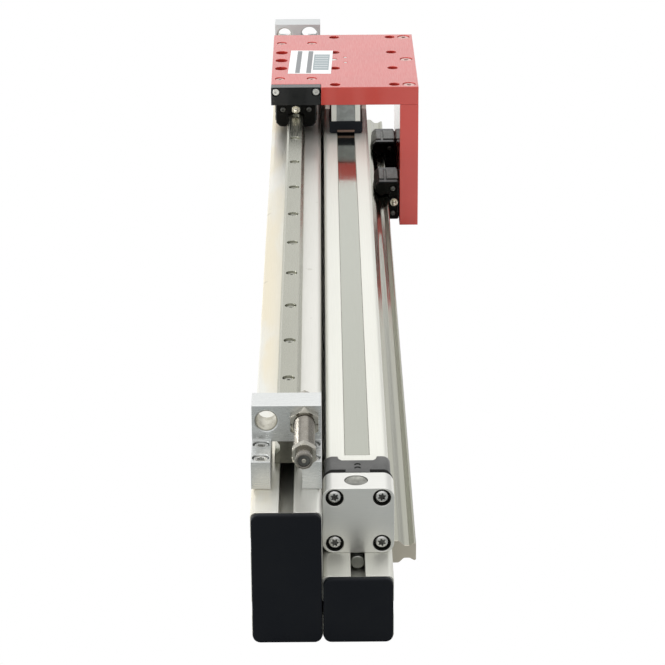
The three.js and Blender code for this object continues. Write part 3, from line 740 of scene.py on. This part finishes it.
def runner(name, base, facing):
    """Steel body, two end caps with scraper plates and their screws, and a grease nipple."""
    low, high = span(name)
    y = (low.y + high.y) / 2
    body = prism("y", runner_section(*RUNNER_BODY), low.y, high.y)
    grooves = []
    holes = []
    for side in (-1, 1):
        edge = side * RUNNER_HALF
        grooves.append(block((edge - 0.8, low.y - 1, 12), (edge + 0.8, high.y + 1, 14)))
        holes.append(rod("z", (side * RUNNER_SCREWS, y), 2.2, RUNNER_TOP - 8, RUNNER_TOP + 1, 32))
    piece(name, moved(carve(body, *grooves, *holes), base), "runner", CARRIAGE, 0.35)
    for end, side in ENDS:
        runner_cap(f"{name}_{end}_cap", base, side)
    nipple(f"{name}_nipple", base, facing)


def runner_cap(node, base, side):
    low, high = span(node)
    y = from_end(node, side)
    outer, plate, inner = y(0), y(SCRAPER), y(high.y - low.y)
    cap = prism("y", runner_section(*RUNNER_END), inner, plate - side * 0.05)
    start, end = min(inner, plate) + 2, max(inner, plate) - 2
    ribs = [block((u - 3, start, 22.6), (u + 3, end, 24.5)) for u in (-9.5, 0, 9.5)]
    piece(node, moved(carve(cap, *ribs), base), "glossy_plastic", CARRIAGE, 0.45, 3)
    scraper = prism("y", runner_section(*RUNNER_SCRAPER), plate, outer)
    u, v = SCRAPER_SCREWS
    cups = [rod("y", place, 2.5, outer - side, outer + side, 32) for place in ((-u, v), (u, v))]
    cups.append(rod("y", (0, NIPPLE_HEIGHT), 4.2, plate - side, outer + side, 32))
    piece(f"{node}_scraper", moved(carve(scraper, *cups), base), "black_rubber", CARRIAGE, 0.25)
    scraper_heads(f"{node}_screws", base, side, pan_screw(2.2, 1.2, 1.0, 0, 0), outer - side,
                  SCRAPER_SCREWS, "dark_screw", 0.1)
    rivet = turned("z", (0, 0), [(0, 0), (1.2, 0), (1.1, 0.35), (0.6, 0.5), (0, 0.5)], 24)
    scraper_heads(f"{node}_rivets", base, side, rivet, outer - side * 0.52, SCRAPER_RIVETS, "screw", 0)


def scraper_heads(name, base, side, form, seat, place, look, bevel):
    """A head on each side of the scraper, seated at a Y."""
    u, v = place
    heads = [set_in(form, FRONT_OR_REAR[side], (across, seat, v)) for across in (-u, u)]
    piece(name, moved(merged(*heads), base), look, CARRIAGE, bevel)


def nipple(node, base, side):
    """Hexagon with chamfered corners, then a waisted ball head."""
    head = [(0, 3.3), (1.9, 3.3), (1.9, 4.2), (1.2, 4.9), (1.2, 6.2), (1.8, 6.9), (1.8, 7.7), (1.3, 8.6),
            (0.7, 9), (0, 9)]
    cone = [(0, 0.3), (3.2, 0.3), (3.6, 0.8), (3.6, 2.9), (3.1, 3.4), (0, 3.4)]
    nut_form = hexagonal("z", (0, 0), cone, 3.6, segments=48)
    form = merged(rod("z", (0, 0), 1.3, -4, 0.3, 24), nut_form, turned("z", (0, 0), head, 32))
    place = (0, from_end(node, side)(NIPPLE_REACH), NIPPLE_HEIGHT)
    form = set_in(form, FRONT_OR_REAR[side], place, math.radians(30))
    piece(node, moved(form, base), "brass", CARRIAGE, 0.12)


def runners():
    for rail, base in RAILS.items():
        for end, side in ENDS:
            runner(f"{rail}_{end}_runner", base, side)


# ---- carriage plates ------------------------------------------------------------------------
def top_plate():
    low, high = span("carriage_top_plate")
    rail = middle("top_rail").x
    recess_width, recess_depth = STOP_PLATE_RECESS
    outline = [(low.x, low.y + recess_depth), (low.x + recess_width, low.y + recess_depth),
               (low.x + recess_width, low.y), (high.x, low.y), (high.x, high.y), (low.x, high.y)]
    body = prism("z", outline, low.z, high.z)
    centre = (low.y + high.y) / 2
    small = []
    for end, _ in ENDS:
        y = middle(f"top_{end}_runner").y
        small += [(rail + side * RUNNER_SCREWS, y) for side in (-1, 1)]
    large = [(high.x - 7.5, centre + dy) for dy in (-72, 2, 72)]
    through = (low.z - 1, high.z + 1)
    cutters = [stepped("z", place, *SMALL_CUP, through[0], high.z - 5, through[1]) for place in small]
    cutters += [stepped("z", place, *LARGE_CUP, through[0], high.z - 7, through[1]) for place in large]
    cutters += [rod("z", (low.x + 7.5, centre + dy), 5, *through) for dy in (-24, 0, 24)]
    for dx in (52, 100):
        cutters += [rod("z", (low.x + dx, centre + dy), 4.2, *through) for dy in HOLE_ROW]
    cutters += [rod("z", (low.x + 61, centre + dy), 1.5, high.z - 2, through[1], 24) for dy in PIN_ROW]
    cutters.append(rod("z", (low.x + 15.5, centre - 37.5), 2.2, high.z - 9, through[1], 32))
    cutters.append(rod("z", (low.x + 50.5, centre + 3), 3.5, high.z - 3, through[1], 32))
    piece("carriage_top_plate", carve(body, *cutters), "red", CARRIAGE, 0.45)
    screws = [set_in(socket_screw(3.8, 4, 1.3), "z", (*place, high.z - 4.75)) for place in small]
    screws += [set_in(socket_screw(4.9, 6, 1.9), "z", (*place, high.z - 6.6)) for place in large]
    # These heads carry a pink tint as painted reflection of the red plate.
    piece("carriage_plate_screws", merged(*screws), "screw_painted_red_reflection", CARRIAGE, 0.12)
    pins = [rod("z", (low.x + 61, centre + dy), 1.45, high.z - 1.9, high.z - 0.15, 24) for dy in PIN_ROW]
    pins.append(rod("z", (low.x + 50.5, centre + 3), 3.4, high.z - 2.9, high.z - 0.4, 32))
    piece("carriage_plate_pins", merged(*pins), "screw", CARRIAGE, 0.2)


def side_plate():
    node = "carriage_side_plate"
    low, high = span(node)
    body = block(low, high)
    places = []
    for end, _ in ENDS:
        centre = middle(f"side_{end}_runner")
        places += [(centre.y, centre.z + side * RUNNER_SCREWS) for side in (-1, 1)]
    cutters = [stepped("x", place, *SMALL_CUP, low.x - 1, high.x - 5, high.x + 1) for place in places]
    piece(node, carve(body, *cutters), "red", CARRIAGE, 0.45)
    screws = [set_in(socket_screw(3.6, 4, 1.75), "x", (high.x - 4.75, *place)) for place in places]
    piece("carriage_side_screws", merged(*screws), "screw", CARRIAGE, 0.12)


def stop_plate():
    node = "stop_plate"
    low, high = span(node)
    places = [(low.x + 4, high.z - 4), (high.x - 3.75, high.z - 4)]
    cutters = [stepped("y", place, 1.8, 3.65, high.y + 1, low.y + 3.5, low.y - 1) for place in places]
    piece(node, carve(block(low, high), *cutters), "black_anodised", CARRIAGE, 0.4)
    screw = socket_screw(2.95, 3.2, 1.3)
    heads = [set_in(screw, "-y", (place[0], low.y + 3.45, place[1])) for place in places]
    piece("stop_plate_screws", merged(*heads), "screw", CARRIAGE, 0.12)


def label():
    """Plain white sticker with two grey bars along it and a pale panel ruled across; no lettering."""
    low, high = span("carriage_top_plate")
    half_width, half_length = 17.75, 35
    centre = Vector((low.x + 32, (low.y + high.y) / 2 - 5.5, high.z))
    turn = Matrix.Translation(centre) @ Matrix.Rotation(math.radians(-1.7), 4, "Z")

    def layer(name, boxes, lift, look):
        forms = []
        for u0, u1, v0, v1 in boxes:
            outline = rounded(u0 - half_width, v0 - half_length, u1 - half_width, v1 - half_length, 0.15, 3)
            forms.append(prism("z", outline, lift - 0.06, lift))
        piece(name, moved(merged(*forms), turn), look, CARRIAGE, 0)

    layer("label", [(0, 2 * half_width, 0, 2 * half_length)], 0.10, "paper")
    layer("label_bars", [(5.9, 9.7, 2, 68), (15.0, 19.0, 2, 68)], 0.12, "dark_ink")
    layer("label_panel", [(20.2, 33.2, 11, 58)], 0.12, "pale_ink")
    layer("label_rules", [(21.2, 32.2, 17 + 7 * k, 17.9 + 7 * k) for k in range(6)], 0.14, "paper")


# ---- stop brackets --------------------------------------------------------------------------
def tapped_hole(centre, radius, start, end):
    """Cutter for a tapped hole along Y, chamfered at both mouths."""
    profile = [(0, start - 1), (radius + 0.6, start - 1), (radius + 0.6, start), (radius, start + 0.6)]
    turns = int((end - start - 2) / 1.5)
    for k in range(turns):
        place = start + 1 + 1.5 * k
        profile += [(radius, place), (radius + 0.4, place + 0.75)]
    profile += [(radius, end - 0.6), (radius + 0.6, end), (radius + 0.6, end + 1), (0, end + 1)]
    return turned("y", centre, profile, 64)


def bracket(end, facing):
    """Angled bracket: two feet with screw cups beside a gap, and a bridge with two tapped holes."""
    node = f"{end}_stop_bracket"
    low, high = span(node)
    y = from_end(node, facing)
    bridge, inner = y(BRACKET_BRIDGE), y(high.y - low.y)
    foot = low.z + BRACKET_FOOT
    arch = low.z + BRACKET_ARCH
    side = [(y(0), low.z), (y(0), foot), (bridge, foot), (bridge, high.z), (inner, high.z), (inner, low.z)]
    body = prism("x", side, low.x, high.x)
    gap_start = (low.x + high.x - BRACKET_GAP) / 2
    opening = [(y(-1), low.z - 1), (y(-1), foot + 1), (bridge, foot + 1), (bridge, arch),
               (inner - facing, arch), (inner - facing, low.z - 1)]
    cutters = [prism("x", opening, gap_start, gap_start + BRACKET_GAP)]
    near, far = sorted((bridge, inner))
    for dx, dz, radius in (STOP_HOLE, SHOCK_HOLE):
        cutters.append(tapped_hole((low.x + dx, low.z + dz), radius, near, far))
    seat = foot - BRACKET_CUP_DEPTH
    for screw in map(middle, four_screws(f"{end}_bracket")):
        cutters.append(stepped("z", (screw.x, screw.y), *BRACKET_CUP, low.z - 1, seat, foot + 1))
    look = "sawn" if end == "front" else "dull"
    piece(node, carve(body, *cutters), look, UNIT, 0.35)
    dx, dz, radius = STOP_HOLE
    liner = ring("y", (low.x + dx, low.z + dz), radius - 0.4, radius + 0.3, near + 1, far - 1, 64)
    piece(f"{end}_bracket_insert", liner, "bronze", UNIT, 0.1)
    bracket_screws(end)


def bracket_screws(end):
    head_height = 5
    screw_form = socket_screw(4.25, head_height, 2.3, 2.5, 20)
    for k, node in enumerate(four_screws(f"{end}_bracket"), 1):
        centre = middle(node)
        seat = span(node)[1].z - head_height
        form = set_in(screw_form, "z", (centre.x, centre.y, seat), 0.5 * k)
        piece(node, form, "screw", UNIT, 0.15)


# ---- shock absorber -------------------------------------------------------------------------
def nut(node, axis_point):
    """Lock nut with its corners chamfered on both faces."""
    low, high = span(node)
    radius = max(high.x - low.x, high.z - low.z) / 2
    chamfered = [(0, low.y), (radius - 1.3, low.y), (radius, low.y + 0.8), (radius, high.y - 0.8),
                 (radius - 1.3, high.y), (0, high.y)]
    body = hexagonal("y", axis_point, chamfered, radius, math.pi / 2)
    form = carve(body, rod("y", axis_point, 6.15, low.y - 1, high.y + 1))
    piece(node, form, "nickel", UNIT, 0.15)


def shock_absorber():
    """Threaded tube with a plain nose, a hexagonal collar, two lock nuts and the plunger rod."""
    node = "shock_absorber_body"
    low, high = span(node)
    centre = middle("shock_rod")
    axis_point = (centre.x, centre.z)
    start, collar, thread, rear = low.y, low.y + 7.75, low.y + 12.75, low.y + 62
    tip = [(0, start + 1.6), (3.2, start + 1.6), (3.4, start + 0.3), (3.7, start), (4.4, start),
           (5, start + 0.6), (5, collar + 0.2), (0, collar + 0.2)]
    button = [(0, start + 0.2), (1.1, start + 0.2), (1.4, start + 0.5), (1.4, start + 1.7), (0, start + 1.7)]
    washer = ring("y", axis_point, 1.3, 3.3, start + 1.2, start + 1.7)
    neck = [(0, collar), (6.6, collar), (7.6, collar + 0.9), (7.6, collar + 4.2), (6.7, thread), (0, thread)]
    collar_form = hexagonal("y", axis_point, neck, 7.6, math.pi / 6)
    piece("shock_absorber_nose", turned("y", axis_point, tip), "chrome", UNIT, 0.12)
    piece("shock_absorber_adjuster", turned("y", axis_point, button, 32), "nickel", UNIT, 0)
    piece("shock_absorber_washer", washer, "dark_screw", UNIT, 0)
    piece("shock_absorber_collar", collar_form, "nickel", UNIT, 0.12)
    bore = rod("y", axis_point, SHOCK_BORE, rear - SHOCK_STROKE, rear + 1)
    bored = carve(threaded("y", axis_point, SHOCK_RADIUS, thread, rear), bore)
    sleeve = [(SHOCK_BORE, rear), (SHOCK_RADIUS, rear), (SHOCK_RADIUS, high.y - 0.5),
              (SHOCK_RADIUS - 0.5, high.y), (SHOCK_BORE, high.y), (SHOCK_BORE, rear)]
    piece(node, merged(bored, turned("y", axis_point, sleeve)), "chrome", UNIT, 0.12)
    nut("shock_front_lock_nut", axis_point)
    nut("shock_rear_lock_nut", axis_point)
    low, high = span("shock_rod")
    radius = (high.x - low.x) / 2
    profile = [(0, low.y), (radius, low.y), (radius, high.y - 0.5), (radius - 0.5, high.y), (0, high.y)]
    piece("shock_rod", turned("y", axis_point, profile), "screw", PLUNGER, 0)


# ---- rodless cylinder -----------------------------------------------------------------------
def cylinder_barrel():
    """Extrusion with a sensor groove in each side, the band's slot and recess, and the clamps' seats."""
    node = "cylinder_barrel"
    low, high = span(node)
    centre = middle(node)
    x, z, reach = centre.x, centre.z, high.x - centre.x
    corner = reach - BARREL_CORNER
    half = arc((corner, low.z + BARREL_CORNER), BARREL_CORNER, -90, 0)
    half += [(reach, z - 11), (reach - 3.5, z - 11), (reach - 3.5, z - 6), (reach, z - 6)]
    half += arc((corner, high.z - BARREL_CORNER), BARREL_CORNER, 0, 90)
    bore = rod("y", (x, z), BORE, low.y - 1, high.y + 1, 64)
    body = carve(prism("y", mirrored(half, x), low.y, high.y), bore)
    band_low, band_high = span("cover_band")
    steps = [(3, z), (3, band_low.z), (BAND_RECESS, band_low.z), (BAND_RECESS, high.z + 1)]
    slot = prism("y", mirrored(steps, x), band_low.y - 0.25, band_high.y + 0.25)
    seats = []
    for end, facing in ENDS:
        y = from_end(f"{end}_band_clamp", facing)
        clamp_low, clamp_high = span(f"{end}_band_clamp")
        length = clamp_high.y - clamp_low.y
        back = y(length + 0.25)
        shape = mirrored([(20, y(-2)), (20, back), (11, back), (11, y(length - 5))], x)
        seats.append(prism("z", shape, clamp_high.z - CLAMP_DEPTH, clamp_high.z + 1))
    piece(node, carve(carve(body, slot), *seats), "anodised", UNIT, 0.3)


def cylinder_head(end, facing):
    node = f"{end}_cylinder_head"
    low, high = span(node)
    centre = middle(node)
    y = from_end(node, facing)
    outline = rounded(low.x, low.z, high.x, high.z, HEAD_CORNER, 12)
    body = prism("y", outline, low.y, high.y)
    cutters = []
    start, seat, top = y(high.y - low.y + 1), y(HEAD_CUP_DEPTH), y(-1)
    for screw in map(middle, four_screws(f"{end}_head")):
        cutters.append(stepped("y", (screw.x, screw.z), 2.8, HEAD_CUP, start, seat, top))
    cutters.append(rod("x", (y(11), centre.z), 4.3, centre.x + 2, high.x + 1, 40))
    if end == "front":
        plug = middle("front_port_plug")
        cutters.append(rod("z", (plug.x, plug.y), PORT_HOLE, high.z - PORT_DEPTH, high.z + 1, 64))
    piece(node, carve(body, *cutters), "milled", UNIT, 0.4, 3)
    head_screws(end, facing, y(HEAD_CUP_DEPTH - 0.25), y(0.5))
    head_gasket(end, low, high, y)


def head_screws(end, facing, seat, mouth):
    """Four pan-head screws, each with a dark lobed disc in its socket as painted shade, and each in a seal
    that lines its cup from seat to mouth.
    """
    screw_form = pan_screw(4.45, 3.4, 2.4, 2.5, 24)
    # Dark lobed disc near the socket's floor: painted shade inside the recess.
    socket = prism("z", lobed(2.5, 0.8), 0.3, 0.8)
    axis = FRONT_OR_REAR[facing]
    seals = []
    sockets = []
    for k, name in enumerate(four_screws(f"{end}_head"), 1):
        screw = middle(name)
        place = (screw.x, seat, screw.z)
        piece(name, set_in(screw_form, axis, place, 0.7 * k), "screw", UNIT, 0.1)
        seals.append(ring("y", (screw.x, screw.z), 4.6, HEAD_CUP - 0.05, seat, mouth))
        sockets.append(set_in(socket, axis, place, 0.7 * k))
    piece(f"{end}_head_screw_seals", merged(*seals), "seal", UNIT, 0)
    piece(f"{end}_head_screw_sockets", merged(*sockets), "dark_screw", UNIT, 0)


def head_gasket(end, low, high, y):
    """Black gasket behind the head, round the barrel and under the clamp's notches."""
    barrel_low, barrel_high = span("cylinder_barrel")
    seat = span(f"{end}_band_clamp")[1].z - CLAMP_DEPTH + 0.05
    start, stop = sorted((y(high.y - low.y), y(high.y - low.y + CLAMP_TONGUE[1])))
    outer = rounded(low.x + 0.2, low.z + 0.3, high.x - 0.2, high.z - 0.25, HEAD_CORNER, 8)
    reach = (barrel_high.x - barrel_low.x) / 2 + 0.05
    notch = CLAMP_TONGUE[0] + 0.1
    half = [(reach, barrel_low.z - 0.05), (reach, seat), (notch, seat), (notch, high.z + 1)]
    hollow = prism("y", mirrored(half, middle("cylinder_barrel").x), start - 1, stop + 1)
    form = carve(prism("y", outer, start, stop), hollow)
    piece(f"{end}_head_gasket", form, "black_rubber", UNIT, 0)


def port_plug():
    """Flush plug with a shallow conical dish."""
    node = "front_port_plug"
    low, high = span(node)
    centre = middle(node)
    radius = (high.x - low.x) / 2
    profile = [(0, low.z), (radius, low.z), (radius, high.z), (radius - 0.7, high.z),
               (radius - 1.3, high.z - 0.35), (0, high.z - 0.55)]
    piece(node, turned("z", (centre.x, centre.y), profile, 64), "plug", UNIT, 0.12)


def crescent(x, y):
    """Outline of a thin arc of painted shadow, open towards -Y."""
    return arc((x, y), 1.9, 0, 180, 10) + arc((x, y - 1.5), 1.5, 180, 0, 10)


def band_clamp(end, facing):
    """Plastic cover over the band's end: a tongue against the head, two ears and a skirt down each side."""
    node = f"{end}_band_clamp"
    low, high = span(node)
    x = middle(node).x
    y = from_end(node, facing)
    length = high.y - low.y
    barrel_low, barrel_high = span("cylinder_barrel")
    outer, inner = high.x - x, (barrel_high.x - barrel_low.x) / 2 + 0.15
    half = arc((outer - CLAMP_CORNER, high.z - CLAMP_CORNER), CLAMP_CORNER, 90, 0)
    half += [(outer, low.z), (inner, low.z), (inner, high.z - CLAMP_DEPTH)]
    tongue, depth = CLAMP_TONGUE
    notches = [[(x + side * tongue, y(-1)), (x + side * 20, y(-1)), (x + side * 20, y(depth)),
                (x + side * tongue, y(depth))] for side in (-1, 1)]
    mouth = mirrored([(11.25, y(length + 1)), (11.25, y(length - 3)), (9, y(length - 5.25))], x)
    cutters = [prism("z", shape, low.z - 1, high.z + 1) for shape in (*notches, mouth)]
    body = prism("y", mirrored(half, x), low.y, high.y)
    piece(node, carve(body, *cutters), "grey_plastic", UNIT, 0.3)
    # Two black crescents just under the top face are painted shadows, in place of the shade in two small
    # recesses.
    painted_shadows = [prism("z", crescent(x, y(along)), high.z - 0.5, high.z + 0.03) for along in (5.5, 10)]
    piece(f"{end}_clamp_marks", merged(*painted_shadows), "black_rubber", UNIT, 0)


def bands():
    for node in ("cover_band", "sealing_band"):
        piece(node, block(*span(node)), "band", UNIT, 0.12)


def piston():
    """Two guide rings, each with a pair of seal lands, on a thinner core."""
    node = "piston"
    centre = middle(node)
    reach = span(node)[1].x - centre.x
    half = [(reach - 0.8, 50), (reach, 49.2), (reach, 45), (reach - 1.2, 44.6), (reach - 1.2, 42.6),
            (reach, 42.2), (reach, 39), (reach - 1.6, 38.6), (reach - 1.6, 36), (reach, 35),
            (reach, 28), (reach - 3.1, 27)]
    profile = [(0, -50)] + [(r, -v) for r, v in half] + [(r, v) for r, v in reversed(half)] + [(0, 50)]
    shape = turned("y", (centre.x, centre.z), [(r, centre.y + v) for r, v in profile], 64)
    piece(node, shape, "milled", CARRIAGE, 0)


def wiper_housing():
    """Black housing with a brown wiper strip on the band at each end."""
    node = "wiper_housing"
    low, high = span(node)
    section = rounded(low.x, low.z, high.x, high.z, 1.6, 5)
    piece(node, prism("y", section, low.y, high.y), "black_plastic", CARRIAGE, 0.5, 3)
    band_low, band_high = span("cover_band")
    strips = []
    for start, end in ((low.y - 0.6, low.y + 4), (high.y - 4, high.y + 0.6)):
        strips.append(block((band_low.x, start, low.z + 0.9), (band_high.x, end, low.z + 2.6)))
    piece("band_wipers", merged(*strips), "wiper", CARRIAGE, 0.2)


def driver_bar():
    """Bar under the plate, with a dark insert in each end face and a pad on each side of it."""
    node = "driver_bar"
    low, high = span(node)
    x = middle(node).x
    recesses = []
    inserts = []
    pads = []
    for face, inward in ((low.y, 1), (high.y, -1)):
        start, end = sorted((face - inward, face + inward))
        recesses.append(block((x - 7.5, start, low.z - 1), (x + 7.5, end, high.z + 1)))
        start, end = sorted((face + 0.3 * inward, face + 0.95 * inward))
        inserts.append(block((x - 7.4, start, low.z + 0.1), (x + 7.4, end, high.z - 0.1)))
        start, end = sorted((face + inward, face + 9 * inward))
        for side in (-1, 1):
            inner, outer = sorted((x + side * 13, x + side * 16.5))
            pads.append(block((inner, start, high.z - 4), (outer, end, high.z - 0.05)))
    piece(node, carve(block(low, high), *recesses), "milled", CARRIAGE, 0.3)
    piece("driver_inserts", merged(*inserts), "insert", CARRIAGE, 0.15)
    piece("driver_pads", merged(*pads), "pad", CARRIAGE, 0.2)


def slot_bar():
    """Round bar lying in the low profile's top slot, from just ahead of the cylinder head."""
    low, high = span("low_profile")
    centre = middle("low_profile")
    start = low.y + 28
    end = start + 60
    profile = [(0, start), (3.5, start), (3.9, start + 0.4), (3.9, end), (0, end)]
    piece("slot_bar", turned("y", (centre.x, high.z - 6), profile), "bar", UNIT, 0)


def cylinder():
    cylinder_barrel()
    for end, facing in ENDS:
        cylinder_head(end, facing)
        band_clamp(end, facing)
    port_plug()
    bands()
    piston()
    wiper_housing()
    driver_bar()
    slot_bar()


# ---- floor, light and camera ----------------------------------------------------------------
def floor():
    """Plain floor: white to the camera, and in reflections pale behind the unit and darker in front."""
    item = added("floor", mesh_of(block((-6000, -6000, -10), (6000, 6000, -0.5)), MM))
    finish = Finish("floor", 0.0, 0.9, Specular_IOR_Level=0.0)
    depth = finish.ranged(finish.coordinate("Y"), -550, -300, curve="LINEAR")
    finish.color(finish.mixed(depth, (0.375, 0.39, 0.385), (0.97, 0.97, 0.95)))
    glow = finish.node("ShaderNodeEmission", Color=(1, 1, 1, 1), Strength=1.0)
    path = finish.node("ShaderNodeLightPath")
    blend = finish.node("ShaderNodeMixShader", _0=path.outputs["Is Camera Ray"],
                        _1=finish.shader.outputs["BSDF"], _2=glow.outputs["Emission"])
    finish.fill(finish.tree.nodes["Material Output"].inputs["Surface"], blend.outputs["Shader"])
    item.data.materials.append(finish.material)


def area_light(name, place, target, size, power):
    data = bpy.data.lights.new(name, "AREA")
    data.shape = "RECTANGLE"
    data.size, data.size_y = size
    data.energy = power
    item = added(name, data)
    item.location = place
    item.rotation_euler = (Vector(target) - Vector(place)).to_track_quat("-Z", "Y").to_euler()


def world():
    """Studio surround: bright behind and above, dimmer in front, low down and on the right."""
    surround = bpy.data.worlds.new("studio")
    bpy.context.scene.world = surround
    nodes = Nodes(surround, "Generated")
    behind = nodes.ranged(nodes.dot(nodes.place, (0, 0.75, 0.66)), -0.6, 0.75, 0.9, 1.05)
    right = nodes.ranged(nodes.along("X"), 0.15, 0.5, 1.0, 0.65, "LINEAR")
    background = nodes.tree.nodes["Background"]
    background.inputs["Color"].default_value = (1, 1, 1, 1)
    nodes.fill(background.inputs["Strength"], nodes.math("MULTIPLY", behind, right))


def camera():
    data = bpy.data.cameras.new("camera")
    data.sensor_width = 36
    data.lens = 132.59
    item = added("camera", data)
    item.location = (-0.01714, -1.7011, 0.6839)
    item.rotation_euler = Euler((math.radians(67.805), math.radians(0.33), math.radians(-0.314)))
    bpy.context.scene.camera = item


def studio():
    floor()
    world()
    area_light("overhead", (0.1, 0.5, 1.9), (0, 0.1, 0), (2.2, 1.6), 10)
    area_light("left_strip", (-1.2, -0.25, 0.42), (0, -0.25, 0.08), (0.16, 1.2), 7)
    bpy.context.scene.view_settings.view_transform = "Standard"
    camera()


# ---- the whole ------------------------------------------------------------------------------
find_rails()
profiles()
end_caps()
rails()
runners()
top_plate()
side_plate()
stop_plate()
label()
for end_name, end_facing in ENDS:
    bracket(end_name, end_facing)
shock_absorber()
cylinder()
studio()
